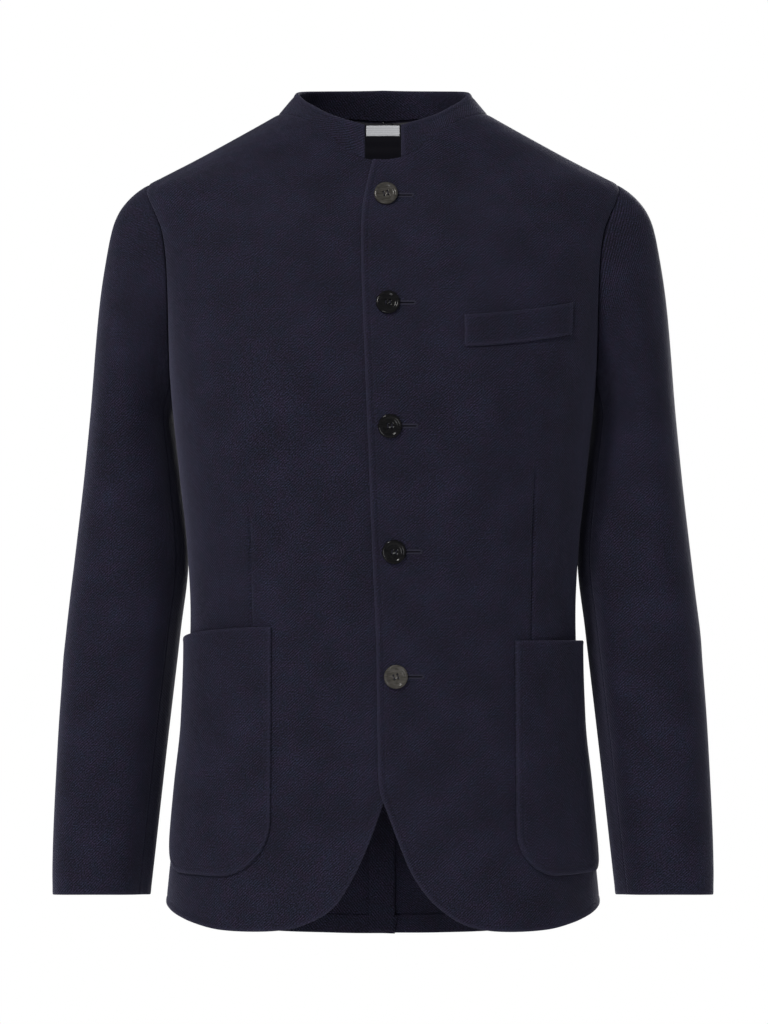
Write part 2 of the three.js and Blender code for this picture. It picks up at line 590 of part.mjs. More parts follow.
function toSolid(source) {
  source.deleteAttribute('normal');
  source.deleteAttribute('uv');
  const geometry = mergeVertices(source, 1e-4);
  return new wasm.Manifold(new wasm.Mesh({
    numProp: 3,
    vertProperties: new Float32Array(geometry.attributes.position.array),
    triVerts: new Uint32Array(geometry.index.array),
  }));
}
function fromSolid(solid) {
  const mesh = solid.getMesh();
  const geometry = new THREE.BufferGeometry();
  geometry.setAttribute('position', new THREE.BufferAttribute(new Float32Array(mesh.vertProperties), 3));
  geometry.setIndex(new THREE.BufferAttribute(new Uint32Array(mesh.triVerts), 1));
  geometry.computeVertexNormals();
  return geometry;
}
function buttonGeometry() {
  const profile = BUTTON_PROFILE.map(({ radius, height }) => new THREE.Vector2(radius, height));
  let solid = toSolid(new THREE.LatheGeometry(profile, 20));
  for (const [x, y] of [[1, 1], [1, -1], [-1, 1], [-1, -1]]) {
    const hole = new THREE.CylinderGeometry(HOLE_RADIUS, HOLE_RADIUS, 8, 6);
    solid = solid.subtract(toSolid(hole.translate(x * HOLE_OFFSET, 1, y * HOLE_OFFSET)));
  }
  return fromSolid(solid);
}

// Finishes
const finish = (color, roughness) => () => new THREE.MeshStandardMaterial({ color, roughness, metalness: 0 });
const twill = finish('#262531', 0.9);
const liningSatin = finish('#121119', 0.5);
const labelWeave = finish('#b4b6bd', 0.8);
const horn = finish('#3a342f', 0.3);

const jacket = new THREE.Group();
function add(name, geometry, material) {
  const mesh = new THREE.Mesh(geometry, material());
  mesh.name = name;
  jacket.add(mesh);
  return mesh;
}

const leftFront = frontGrid(LEFT_EDGE);
const rightFront = frontGrid(RIGHT_EDGE);
const leftBack = backGrid(0);
const rightBack = backGrid(VENT_LAP);
add('front_left', panelWall(1, leftFront), twill);
add('front_right', panelWall(-1, rightFront), twill);
add('back_left', panelWall(1, leftBack), twill);
add('back_right', panelWall(-1, rightBack), twill);
for (const [side, word] of [[1, 'left'], [-1, 'right']]) {
  add(`sleeve_top_${word}`, sleeveWall(side, SLEEVE_SEAM_BACK - ARMHOLE_STEPS, SLEEVE_SEAM_FRONT), twill);
  add(`sleeve_under_${word}`, sleeveWall(side, SLEEVE_SEAM_FRONT, SLEEVE_SEAM_BACK), twill);
}
add('collar', collarWall(), twill);
for (const pocket of POCKETS) add(pocket.name, pocketWall(pocket), twill);
add('breast_welt', weltWall(), twill);
add('yoke_lining', liningWall(leftBack), liningSatin);
add('neck_label', labelWall(), labelWeave);
BUTTONS.forEach(({ s, z }, i) => {
  const button = add(`button_${i + 1}`, buttonGeometry(), horn);
  button.position.copy(cloth(1, s, z, SEAT));
  button.quaternion.setFromUnitVectors(vec(0, 1, 0), surfaceNormal(s, z));
});

export default jacket;
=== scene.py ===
import math

import bpy
import numpy as np
from mathutils import Matrix, Vector


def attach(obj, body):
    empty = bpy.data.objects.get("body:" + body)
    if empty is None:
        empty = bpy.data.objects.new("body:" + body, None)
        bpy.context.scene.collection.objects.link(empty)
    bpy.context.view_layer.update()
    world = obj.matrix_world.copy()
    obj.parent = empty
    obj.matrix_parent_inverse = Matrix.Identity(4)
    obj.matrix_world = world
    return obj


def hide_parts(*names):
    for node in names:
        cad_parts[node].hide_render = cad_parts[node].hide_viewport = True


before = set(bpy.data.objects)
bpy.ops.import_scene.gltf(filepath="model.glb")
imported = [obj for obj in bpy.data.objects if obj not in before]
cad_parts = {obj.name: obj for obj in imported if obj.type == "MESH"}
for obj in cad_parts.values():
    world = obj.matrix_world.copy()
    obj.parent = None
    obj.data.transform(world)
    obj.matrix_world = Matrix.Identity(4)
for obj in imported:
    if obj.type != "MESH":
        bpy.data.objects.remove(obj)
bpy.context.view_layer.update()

# Front panels
# Navy wool twill from the neck to the rounded corners, the left panel lapped over the right one.
# Front edges are turned in and stitched 6 mm back, which swells them into a soft rim; each panel has a
# long dart to the pocket. Cutting sizes are in millimetres and meshes in metres.

CLOTH = 2.0
SEAM = 0.05             # the sewn edges of two panels touch
NECK_HALF, NECK_FRONT, NECK_BACK = 94, 64, 62
COLLAR_GAP_HALF = 16
SHOULDER_TIP, UNDERARM = -63, -252
ARMHOLE_REACH, ARMHOLE_LEAN = 54, 10
LAP_INSET = 3.1
SIDE_HEM = -706

# Level sections of the worn body: height, half width, reach in front and behind, roundness
BODY = np.array([
    (14, 68, 46, 59, 2.1), (0, 94, 52, 62, 2.15), (-8, 108, 54, 64, 2.2),
    (-22.5, 134, 58, 67, 2.25), (-40.5, 167, 62.5, 71, 2.3), (-58.5, 201.6, 70, 78, 2.45),
    (-63, 210, 72, 80, 2.5), (-72, 215, 77, 85, 2.6), (-110, 204, 100, 102, 2.9),
    (-173, 196, 120, 116, 3), (-252, 190, 137, 118, 2.7), (-330, 182, 134, 112, 2.5),
    (-387, 176, 130, 107, 2.4), (-450, 173, 126, 105, 2.4), (-545, 177.5, 128, 110, 2.4),
    (-600, 184, 130, 114, 2.4), (-660, 190, 132, 118, 2.4), (-750, 199, 135, 123, 2.4)])

# Front edges from the neck over the rounded corner, the hems, and the side seam's way behind the side line
LEFT_EDGE = [(-8.9, -45), (-15, -69), (-18.5, -92), (-19.2, -130), (-16.5, -208), (-13, -295),
             (-9.6, -386), (-6, -469), (-4.6, -560), (-2.8, -600), (4.4, -621), (13, -644),
             (26, -674), (43.5, -697.5), (67, -715), (92, -722.5)]
RIGHT_EDGE = [(-22, -45), (-24, -170), (-25, -330), (-23.5, -497), (-17.4, -551), (-4.3, -599),
              (4.4, -625), (13.9, -650), (27.8, -679), (44.4, -703), (70, -717.5), (92, -722.5)]
FRONT_HEM = [(148, -723.8), (182, -719.2), (205, -715), (243, -709)]
SIDE_SEAM = np.array([(UNDERARM, ARMHOLE_LEAN), (-330, 20), (-450, 28), (-750, 32)])

# Soft folds of the worn cloth: side, middle length round and height, half length, half width, tilt, rise
FOLDS = [(-1, 66, -318, 90, 15, -72, -2.2), (-1, 104, -262, 80, 20, -60, 1.8),
         (1, 52, -262, 80, 18, 72, -1.6), (1, 92, -300, 90, 22, 76, 1.4),
         (-1, 52, -560, 110, 20, 80, -1.8), (1, 60, -565, 110, 22, 80, -1.6),
         (-1, 150, -90, 60, 22, -30, -1.5), (1, 150, -90, 60, 22, -30, -1.5),
         (1, 440, -420, 60, 16, 8, -2), (-1, 430, -440, 60, 16, -10, -2),
         (1, 420, -200, 80, 24, 62, 1.8), (-1, 415, -210, 80, 24, 58, 1.6),
         (1, 450, -600, 110, 26, 86, 1.6), (-1, 455, -610, 110, 26, 86, 1.6)]


def down_table(rows, k, z):
    """Smooth value of column k of a table whose rows go down in height, with no overshoot."""
    height, value = rows[:, 0], rows[:, k]
    slope = np.diff(value) / np.diff(height)
    before, after = slope[:-1], slope[1:]
    rising = before * after > 0
    inner = np.where(rising, 2 * before * after / np.where(rising, before + after, 1), 0)
    bend = np.concatenate([slope[:1], inner, slope[-1:]])
    z = np.asarray(z, float)
    i = np.clip(np.searchsorted(-height, -z) - 1, 0, len(height) - 2)
    span = height[i + 1] - height[i]
    t = np.clip((z - height[i]) / span, 0, 1)
    smooth = value[i] * (1 + 2 * t) * (1 - t) ** 2 + value[i + 1] * t * t * (3 - 2 * t)
    smooth = smooth + span * (bend[i] * t * (1 - t) ** 2 - bend[i + 1] * t * t * (1 - t))
    return smooth + bend[0] * np.maximum(z - height[0], 0) + bend[-1] * np.minimum(z - height[-1], 0)


# The body's surface is read from level rings, each divided evenly by length from centre front to back
RING_STEP = 2.0
ring_z = np.arange(-780, 30, RING_STEP)
ring_angle = np.linspace(0, math.pi, 193)
ring_shape = [down_table(BODY, k, ring_z)[:, None] for k in (1, 2, 3, 4)]
across, along = np.sin(ring_angle), np.cos(ring_angle)
ring_reach = ((across / ring_shape[0]) ** ring_shape[3]
              + (np.abs(along) / np.where(along > 0, ring_shape[1], ring_shape[2])) ** ring_shape[3]
              ) ** (-1 / ring_shape[3])
ring_x, ring_y = ring_reach * across, -ring_reach * along
ring_length = np.concatenate([np.zeros((len(ring_z), 1)),
                              np.cumsum(np.hypot(np.diff(ring_x), np.diff(ring_y)), axis=1)], axis=1)
ring_end, ring_side = ring_length[:, -1], ring_length[:, 96]
SHARES = 301
ring_point = np.empty((len(ring_z), SHARES, 2))
for k in range(len(ring_z)):
    even = np.linspace(0, ring_end[k], SHARES)
    ring_point[k] = np.stack([np.interp(even, ring_length[k], ring_x[k]),
                              np.interp(even, ring_length[k], ring_y[k])], -1)


def centre_back(z):
    return np.interp(z, ring_z, ring_end)


def side_line(z):
    return np.interp(z, ring_z, ring_side)


def body_surface(s, z):
    """Point of the body at length s round from the centre front; it may pass either centre line."""
    s, z = np.broadcast_arrays(np.asarray(s, float), np.asarray(z, float))
    end = centre_back(z)
    mirrored = (s < 0) | (s > end)
    inside = np.where(s < 0, -s, np.where(s > end, 2 * end - s, s))
    column, row = inside / end * (SHARES - 1), (z - ring_z[0]) / RING_STEP
    c = np.clip(column.astype(int), 0, SHARES - 2)
    r = np.clip(row.astype(int), 0, len(ring_z) - 2)
    c_part, r_part = (column - c)[..., None], (row - r)[..., None]
    low = ring_point[r, c] * (1 - c_part) + ring_point[r, c + 1] * c_part
    high = ring_point[r + 1, c] * (1 - c_part) + ring_point[r + 1, c + 1] * c_part
    xy = low * (1 - r_part) + high * r_part
    return np.stack([np.where(mirrored, -xy[..., 0], xy[..., 0]), xy[..., 1], z], -1)


def unit(v):
    return v / np.maximum(np.linalg.norm(v, axis=-1, keepdims=True), 1e-12)


def body_normal(s, z, near=2.5):
    round_it = body_surface(s + near, z) - body_surface(s - near, z)
    return unit(np.cross(round_it, body_surface(s, z + near) - body_surface(s, z - near)))


def rise(start, end, value):
    t = np.clip((value - start) / (end - start), 0, 1)
    return t * t * (3 - 2 * t)


def stand_off(side, s, z):
    """How far the worn cloth stands off: its folds, and where it runs under the other side."""
    out = np.zeros(np.shape(s))
    for fold_side, fold_s, fold_z, long, wide, tilt, height in FOLDS:
        if fold_side != side:
            continue
        c, t = math.cos(math.radians(tilt)), math.sin(math.radians(tilt))
        lengthways = (s - fold_s) * c + (z - fold_z) * t
        crossways = (z - fold_z) * c - (s - fold_s) * t
        out = out + height * np.exp(-(lengthways / long) ** 2 - (crossways / wide) ** 2)
    if side > 0:
        return out
    end = centre_back(z)
    under_front = (1 - rise(23, 80, s)) * rise(-690, -630, z)
    under_back = rise(end - 60, end - 14, s) * rise(485, 520, -z)
    curl = 2.6 * np.exp(-((end + 11 - s) / 7) ** 2) * rise(545, 610, -z)
    return out - LAP_INSET * (under_front + under_back) - curl


def cloth_point(side, s, z, out=0.0):
    """A point of the worn cloth of one side, moved out along the body's normal."""
    lift = (stand_off(side, s, z) + out)[..., None]
    point = body_surface(s, z) + body_normal(s, z) * lift
    return point * np.array([side, 1, 1])


def smooth_line(places, step=1.0):
    """A smooth line through the places, as points about a step apart."""
    p = np.array(places, float)
    p = np.concatenate([[2 * p[0] - p[1]], p, [2 * p[-1] - p[-2]]])
    out = []
    for a, b, c, d in zip(p[:-3], p[1:-2], p[2:-1], p[3:]):
        ab, bc, cd = (np.linalg.norm(v) ** 0.5 for v in (b - a, c - b, d - c))
        start = ((b - a) / ab - (c - a) / (ab + bc) + (c - b) / bc) * bc
        stop = ((c - b) / bc - (d - b) / (bc + cd) + (d - c) / cd) * bc
        t = np.arange(0, 1, min(step / np.linalg.norm(c - b), 1))[:, None]
        out.append(b + start * t + (3 * (c - b) - 2 * start - stop) * t ** 2
                   + (2 * (b - c) + start + stop) * t ** 3)
    return np.concatenate(out + [p[-2:-1]])


def neck_place(angle):
    """Place of the neck seam, an oval in plan laid on the body, from centre front to centre back."""
    x = NECK_HALF * np.sin(angle)
    y = -np.cos(angle) * np.where(np.cos(angle) > 0, NECK_FRONT, NECK_BACK)
    low, high = np.full(np.shape(angle), -80.0), np.full(np.shape(angle), 12.0)
    for _ in range(30):
        z = (low + high) / 2
        half, depth, roundness = section_at(y, z)
        outside = (np.abs(x) / half) ** roundness + (np.abs(y) / depth) ** roundness > 1
        high, low = np.where(outside, z, high), np.where(outside, low, z)
    return length_at(x, y, low), low


def section_at(y, z):
    """Half width, reach and roundness of the body's level section on the side that y names."""
    half, front, back, roundness = (down_table(BODY, k, z) for k in (1, 2, 3, 4))
    return half, np.where(y < 0, front, back), roundness


def length_at(x, y, z):
    """Length round the section at z of the point in plan direction (x, y)."""
    turn = np.arctan2(np.abs(x), -y)
    row = np.clip(np.round((z - ring_z[0]) / RING_STEP).astype(int), 0, len(ring_z) - 2)
    near = np.array([np.interp(t, ring_angle, ring_length[k] / ring_end[k])
                     for t, k in zip(np.ravel(turn), np.ravel(row))]).reshape(np.shape(turn))
    return np.where(x < 0, -1, 1) * near * centre_back(z)


def place_behind(y, z):
    """Place on the body's side at depth y."""
    half, depth, roundness = section_at(y, z)
    x = half * (1 - (np.abs(y) / depth) ** roundness) ** (1 / roundness)
    return length_at(x, y, z), z


def armhole_place(angle):
    """Place of the armhole, an upright oval, from the shoulder tip over the front to the underarm."""
    middle = (SHOULDER_TIP + UNDERARM) / 2
    z = middle + (SHOULDER_TIP - middle) * np.cos(angle)
    return place_behind(ARMHOLE_LEAN * (1 - np.cos(angle)) / 2 - ARMHOLE_REACH * np.sin(angle), z)


def places(pair, shift=0.0):
    return np.stack([pair[0] + shift, pair[1] + np.zeros(np.shape(pair[0]))], -1)


def run_length(line, axis=0):
    """Length run at each point of a line, or of every line of a grid of points."""
    step = np.linalg.norm(np.diff(line, axis=axis), axis=-1)
    return np.concatenate([0 * np.take(step, [0], axis), np.cumsum(step, axis=axis)], axis=axis)


def read_line(line, at):
    run = run_length(line)
    return np.stack([np.interp(at, run, line[:, k]) for k in (0, 1)], -1)


def left_of(line, at, window=1.5):
    """Direction of a line at a length along it, read over a window, and the direction to its left."""
    way = unit(read_line(line, at + window) - read_line(line, at - window))
    return way, np.stack([-way[:, 1], way[:, 0]], -1)


def quads(number):
    """Four-cornered faces of a grid of numbered points."""
    corners = number[:-1, :-1], number[1:, :-1], number[1:, 1:], number[:-1, 1:]
    return np.stack(corners, -1).reshape(-1, 4)


def sheet_faces(points, mirrored=False):
    """Faces of a sheet of points in rows; a mirrored sheet winds them the other way round."""
    rows, columns = points.shape[:2]
    faces = quads(np.arange(rows * columns).reshape(rows, columns))
    return faces[:, [0, 3, 2, 1]] if mirrored else faces


def bordered(legs, corners, depths, steps, windows=None):
    """Places and faces of a panel: rings that follow its edges inwards, and a grid inside them.

    legs are the edge lines between true corners, counterclockwise; corners are their four grid corners
    as (leg, share of its steps); depths are the rings' distances from the edge."""
    ends = [unit(leg[-1] - leg[-4]) for leg in legs]
    starts = [unit(leg[3] - leg[0]) for leg in legs]
    pull = []
    for k in range(len(legs)):
        turn = math.atan2(np.cross(ends[k - 1], starts[k]), float(ends[k - 1] @ starts[k]))
        pull.append(math.tan(max(min(turn, 2.4), -1.2) / 2))
    rings = []
    for depth in depths:
        ring = []
        for k, (leg, count) in enumerate(zip(legs, steps)):
            first, last = depth * pull[k], depth * pull[(k + 1) % len(legs)]
            at = first + np.linspace(0, 1, count + 1) * (run_length(leg)[-1] - first - last)
            ring.append(read_line(leg, at) + depth * left_of(leg, at, windows[k] if windows else 1.5)[1])
        for k in range(len(legs)):
            joint = (ring[k - 1][-1] + ring[k][0]) / 2
            ring[k - 1][-1] = ring[k][0] = joint
        rings.append(np.concatenate([part[:-1] for part in ring]))
    loop = len(rings[0])
    offset = np.concatenate([[0], np.cumsum(steps)])
    at = [int(offset[leg] + round(share * steps[leg])) for leg, share in corners]
    sides = [np.arange(a, b if b > a else b + loop) for a, b in zip(at, at[1:] + at[:1])]
    sides = [np.append(side, side[-1] + 1) % loop for side in sides]
    left, bottom, right, top = sides[0], sides[1], sides[2][::-1], sides[3][::-1]
    inner = rings[-1]
    shares = [run_length(inner[side]) / run_length(inner[side])[-1] for side in (top, bottom, left, right)]
    c = np.linspace(0, 1, len(top))[None, :]
    r = np.linspace(0, 1, len(left))[:, None]
    down = shares[2][:, None] * (1 - c) + shares[3][:, None] * c
    over = shares[0][None, :] * (1 - r) + shares[1][None, :] * r
    down, over = down[..., None], over[..., None]
    grid = (inner[top][None] * (1 - down) + inner[bottom][None] * down
            + inner[left][:, None] * (1 - over) + inner[right][:, None] * over
            - (inner[top[0]] * (1 - over) + inner[top[-1]] * over) * (1 - down)
            - (inner[bottom[0]] * (1 - over) + inner[bottom[-1]] * over) * down)
    number = np.full((len(left), len(top)), -1)
    base = (len(depths) - 1) * loop
    number[:, 0], number[-1, :] = left + base, bottom + base
    number[:, -1], number[0, :] = right + base, top + base
    free = number < 0
    number[free] = len(depths) * loop + np.arange(free.sum())
    flat = np.concatenate([*rings, grid[free]])
    i = np.arange(loop)
    faces = [np.stack([k * loop + i, k * loop + (i + 1) % loop, (k + 1) * loop + (i + 1) % loop,
                       (k + 1) * loop + i], -1) for k in range(len(depths) - 1)]
    return flat, np.concatenate([*faces, quads(number)])


def distance_to(flat, *lines, reach=14.0):
    """Distance of each place from the nearest of some lines, up to a reach."""
    if len(lines) > 1:
        return np.minimum.reduce([distance_to(flat, line) for line in lines])
    line, out = lines[0], np.full(len(flat), reach)
    a, b = line[:-1], line[1:]
    for k in range(0, len(flat), 2000):
        p = flat[k:k + 2000, None]
        t = np.clip(((p - a) * (b - a)).sum(-1) / np.maximum(((b - a) ** 2).sum(-1), 1e-9), 0, 1)
        away = np.linalg.norm(p - (a + t[..., None] * (b - a)), axis=-1).min(1)
        out[k:k + 2000] = np.minimum(out[k:k + 2000], away)
    return out


def shell(name, outer, inner, faces, uv, rim, flip):
    """A closed piece of cloth from its two faces, with rims where it ends. Points are in millimetres."""
    if flip:
        faces = faces[:, ::-1]
    n = len(outer)
    start, stop = faces.ravel(), np.roll(faces, -1, axis=1).ravel()
    there = set(zip(start.tolist(), stop.tolist()))
    edge = [(a, b) for a, b in there if (b, a) not in there]
    rims = [(b, a, a + n, b + n) for a, b in edge]
    mesh = bpy.data.meshes.new(name)
    mesh.from_pydata((np.concatenate([outer, inner]) / 1000).tolist(), [],
                     faces.tolist() + (faces[:, ::-1] + n).tolist() + rims)
    layer = mesh.uv_layers.new(name="cloth")
    corner = np.empty(len(mesh.loops), np.int32)
    mesh.loops.foreach_get("vertex_index", corner)
    layer.data.foreach_set("uv", (np.concatenate([uv, uv])[corner] / 1000).astype(np.float32).ravel())
    # the rim attribute is the mask of a painted highlight along the cloth's edges
    mark = mesh.attributes.new("rim", "FLOAT", "POINT")
    mark.data.foreach_set("value", np.concatenate([rim, rim]).astype(np.float32))
    mesh.polygons.foreach_set("use_smooth", np.ones(len(mesh.polygons), bool))
    mesh.update()
    piece = bpy.data.objects.new(name, mesh)
    bpy.context.scene.collection.objects.link(piece)
    return piece


def folded_edge(d, half=CLOTH / 2):
    """Drop of a folded edge towards the middle of the cloth, which is half its thickness away."""
    q = np.clip(1 - d / half, 0, 1)
    return half * 0.9 * (1 - np.sqrt(1 - q * q))


def bump_at(d, middle, width):
    """Bell of height 1 at a distance, which the pressed and stitched edges are built from."""
    return np.exp(-((d - middle) / width) ** 2)


def swelled(d):
    """Soft rim along an edge that is stitched 6 mm back."""
    return 0.5 * bump_at(d, 3.1, 2.0) - 0.35 * bump_at(d, 6.6, 1.0)


def sewn_in(d, depth=1.1):
    """A seamed edge rolls down to its seam."""
    return -depth * np.clip(1 - d / 2.4, 0, 1) ** 2


# Lengthways place of the cloth: along the body from a level line at the chest, up over the shoulders
ring_walk = run_length(np.concatenate([ring_point, np.repeat(ring_z[:, None, None], SHARES, 1)], -1))
ring_walk -= ring_walk[int((-330 - ring_z[0]) / RING_STEP)]


def cloth_uv(side, flat):
    s, z = flat[:, 0], flat[:, 1]
    end = centre_back(z)
    inside = np.where(s < 0, -s, np.where(s > end, 2 * end - s, s))
    share = np.clip(inside / end * (SHARES - 1), 0, SHARES - 1.001)
    row = np.clip((z - ring_z[0]) / RING_STEP, 0, len(ring_z) - 1.001)
    c, r = share.astype(int), row.astype(int)
    fc, fr = share - c, row - r
    walk = ((ring_walk[r, c] * (1 - fc) + ring_walk[r, c + 1] * fc) * (1 - fr)
            + (ring_walk[r + 1, c] * (1 - fc) + ring_walk[r + 1, c + 1] * fc) * fr)
    return np.stack([side * s, walk], -1)


def dart_fade(z, line):
    return rise(line[-1, 1] - 4, line[-1, 1] + 8, z) * (1 - rise(line[0, 1] - 40, line[0, 1], z))


def drawn_to_dart(flat, line):
    """Draws the mesh together along a dart, so that its sharp groove has enough points."""
    s, z = flat[:, 0], flat[:, 1]
    away = s - np.interp(z, line[::-1, 1], line[::-1, 0])
    near = rise(line[-1, 1] - 30, line[-1, 1], z) * (1 - rise(line[0, 1], line[0, 1] + 30, z))
    return np.stack([s - away * 0.74 * near * np.exp(-(away / 12) ** 2), z], -1)


def dart(s, z, line):
    """Sharp groove of a dart along a line of places, with the cloth swelling a little beside it."""
    away = s - np.interp(z, line[::-1, 1], line[::-1, 0])
    return -dart_fade(z, line) * (2.4 * np.exp(-(away / 1.1) ** 2) - 0.5 * np.exp(-(away / 8) ** 2))


DARTS = {1: np.array([(139.0, -300), (137.0, -478)]), -1: np.array([(121.0, -335), (119.0, -462)])}
STITCH_STEP, STITCH_HALF, THREAD_RADIUS = 3.3, 1.15, 0.24
STITCH_INSET = 6.6
DOWN_STEPS, OVER_STEPS, ARM_STEPS, SHOULDER_STEPS = 192, 70, 66, 38     # mesh steps of a panel


def stitching(name, side, line, inset, out):
    """A row of short stitches along a line of a panel, each a low grain of thread."""
    bpy.ops.object.select_all(action="DESELECT")
    bpy.ops.mesh.primitive_uv_sphere_add(segments=6, ring_count=4, radius=1)
    grain = bpy.context.object
    corner = np.empty(3 * len(grain.data.vertices))
    grain.data.vertices.foreach_get("co", corner)
    corner = corner.reshape(-1, 3)[:, [2, 1, 0]] * [-STITCH_HALF, THREAD_RADIUS * 1.3, THREAD_RADIUS]
    faces = [list(face.vertices) for face in grain.data.polygons]
    bpy.data.objects.remove(grain)
    run = run_length(line)[-1]
    at = np.arange(4, run - 4, STITCH_STEP)
    way, inward = left_of(line, at)
    s, z = (read_line(line, at) + inset * inward).T
    lift = out(s, z)
    middle = cloth_point(side, s, z, lift)
    along_it = unit(cloth_point(side, s + way[:, 0], z + way[:, 1], lift) - middle)
    normal = unit(cloth_point(side, s, z, lift + 1) - middle)
    beside = np.cross(normal, along_it)
    frame_of = np.stack([along_it, beside, normal], 1)
    points = middle[:, None] + np.einsum("ki,nij->nkj", corner, frame_of)
    mesh = bpy.data.meshes.new(name)
    mesh.from_pydata((points.reshape(-1, 3) / 1000).tolist(), [],
                     [[v + k * len(corner) for v in face] for k in range(len(at)) for face in faces])
    mesh.polygons.foreach_set("use_smooth", np.ones(len(mesh.polygons), bool))
    mesh.update()
    row = bpy.data.objects.new(name, mesh)
    bpy.context.scene.collection.objects.link(row)
    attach(row, "root")
    row.data.materials.append(sewing_thread)


def seams_of(armhole_start, past):
    """Shoulder, armhole and side seam of a panel, which lie past the true seam lines by a little."""
    z = np.linspace(0, SHOULDER_TIP, 60)
    shoulder = places((side_line(z), z), past)
    armhole = places(armhole_place(np.linspace(armhole_start, math.pi, 160)))
    armhole[0], armhole[-1, 0] = shoulder[-1], armhole[-1, 0] + min(past, 0)
    z = np.linspace(UNDERARM, SIDE_HEM, 220)
    side_seam = places(place_behind(down_table(SIDE_SEAM, 1, z), z), past)
    side_seam[0] = armhole[-1]
    return shoulder, armhole, side_seam


def panel_faces(side, flat, free_edge, seams, quiet_seams, shape=0):
    """Outer and inner points of a panel: seams rolled in, least over the shoulder, and free edges turned."""
    s, z = flat.T
    roll = 0.35 + 0.75 * rise(SHOULDER_TIP - 6, SHOULDER_TIP - 50, z)
    shape = shape + sewn_in(distance_to(flat, *seams), roll) + sewn_in(distance_to(flat, *quiet_seams), 0.5)
    turned = folded_edge(free_edge)
    return (cloth_point(side, s, z, shape - turned),
            cloth_point(side, s, z, -CLOTH + turned + np.minimum(shape, 0) * 0.3))


def front_panel(name, node, side, edge):
    collar_end = math.asin(COLLAR_GAP_HALF / NECK_HALF)
    edge_angle = math.asin(edge[0][0] / NECK_HALF)
    neckline = places(neck_place(np.concatenate([np.linspace(edge_angle, collar_end, 24)[:-1],
                                                 np.linspace(collar_end, math.pi / 2, 90)])))
    shoulder, armhole, side_seam = seams_of(0, -SEAM / 2)
    line = smooth_line([neckline[0], *edge[1:], *FRONT_HEM, side_seam[-1]])
    # steps are even along a leg, so the line that rounds the corner is cut where the grid's corner sits
    corner = np.argmax(line[:, 1] < -690)
    legs = [line[:corner + 1], line[corner:],
            side_seam[::-1], armhole[::-1], shoulder[::-1], neckline[::-1]]
    steps = [DOWN_STEPS, OVER_STEPS, DOWN_STEPS - ARM_STEPS, ARM_STEPS,
             SHOULDER_STEPS, OVER_STEPS - SHOULDER_STEPS]
    depths = [0, 0.2, 0.6, 1.1, 1.9, 2.9, 3.9, 4.9, 5.7, 6.4, 7.1, 8.0, 9.5]
    flat, faces = bordered(legs, [(0, 0), (1, 0), (2, 0), (4, 0)], depths, steps)
    flat = drawn_to_dart(flat, DARTS[side])
    free_edge = distance_to(flat, line)
    s, z = flat.T
    shape = swelled(free_edge) * (1 - 0.35 * rise(-640, -720, z)) + dart(s, z, DARTS[side])
    outer, inner = panel_faces(side, flat, free_edge, [side_seam, armhole], [shoulder, neckline], shape)
    # mask of the painted highlight along the free edges
    rim = bump_at(free_edge, 0.9, 1.3)
    panel = shell(name, outer, inner, faces, cloth_uv(side, flat), rim, side < 0)
    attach(panel, "root")
    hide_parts(node)
    panel.data.materials.append(navy_twill)
    stitching(name.replace("cloth", "stitching"), side, line, STITCH_INSET, lambda s, z: -0.4 + 0 * s)
    return panel


def new_material(name, **settings):
    """A material with its Principled shader, whose plain settings are given by socket name."""
    mat = bpy.data.materials.new(name)
    mat.use_nodes = True
    shader = mat.node_tree.nodes["Principled BSDF"]
    for socket, value in settings.items():
        shader.inputs[socket.replace("_", " ")].default_value = value
    return mat, mat.node_tree, shader


def feed(tree, socket, value):
    """Links an output to a socket, or sets the socket to a plain value."""
    if isinstance(value, bpy.types.NodeSocket):
        tree.links.new(value, socket)
    else:
        socket.default_value = value


def node(tree, kind, **values):
    """Adds a node and sets its properties and input values."""
    made = tree.nodes.new(kind)
    for key, value in values.items():
        if key in made.inputs:
            feed(tree, made.inputs[key], value)
        else:
            setattr(made, key, value)
    return made


def maths(tree, operation, a, b=0.0, c=None, clamp=False):
    """A Math node on values or sockets, and its output."""
    made = tree.nodes.new("ShaderNodeMath")
    made.operation, made.use_clamp = operation, clamp
    for k, value in enumerate((a, b) if c is None else (a, b, c)):
        feed(tree, made.inputs[k], value)
    return made.outputs[0]


def mixed(tree, factor, a, b, blend="MIX"):
    """A colour Mix node, and its output."""
    made = tree.nodes.new("ShaderNodeMix")
    made.data_type, made.blend_type = "RGBA", blend
    for socket, value in ((0, factor), (6, a), (7, b)):
        feed(tree, made.inputs[socket], value)
    return made.outputs[2]


def noise(tree, place, scale, **more):
    """A Noise texture's value at a place."""
    return node(tree, "ShaderNodeTexNoise", Vector=place, Scale=scale, **more).outputs["Fac"]


def spread(tree, value, gain, middle=0.5):
    """Widens a noise about its mean, and keeps it between 0 and 1."""
    return maths(tree, "MULTIPLY_ADD", maths(tree, "SUBTRACT", value, 0.5), gain, middle, clamp=True)


def cloth_place(tree):
    return node(tree, "ShaderNodeUVMap", uv_map="cloth").outputs["UV"]


def object_place(tree):
    return node(tree, "ShaderNodeTexCoord").outputs["Object"]


def bumped(tree, shader, height, strength, distance):
    raised = node(tree, "ShaderNodeBump", Strength=strength, Distance=distance, Height=height)
    tree.links.new(raised.outputs["Normal"], shader.inputs["Normal"])


def two_toned(tree, shader, share, dark, light):
    tree.links.new(mixed(tree, share, dark, light), shader.inputs["Base Color"])


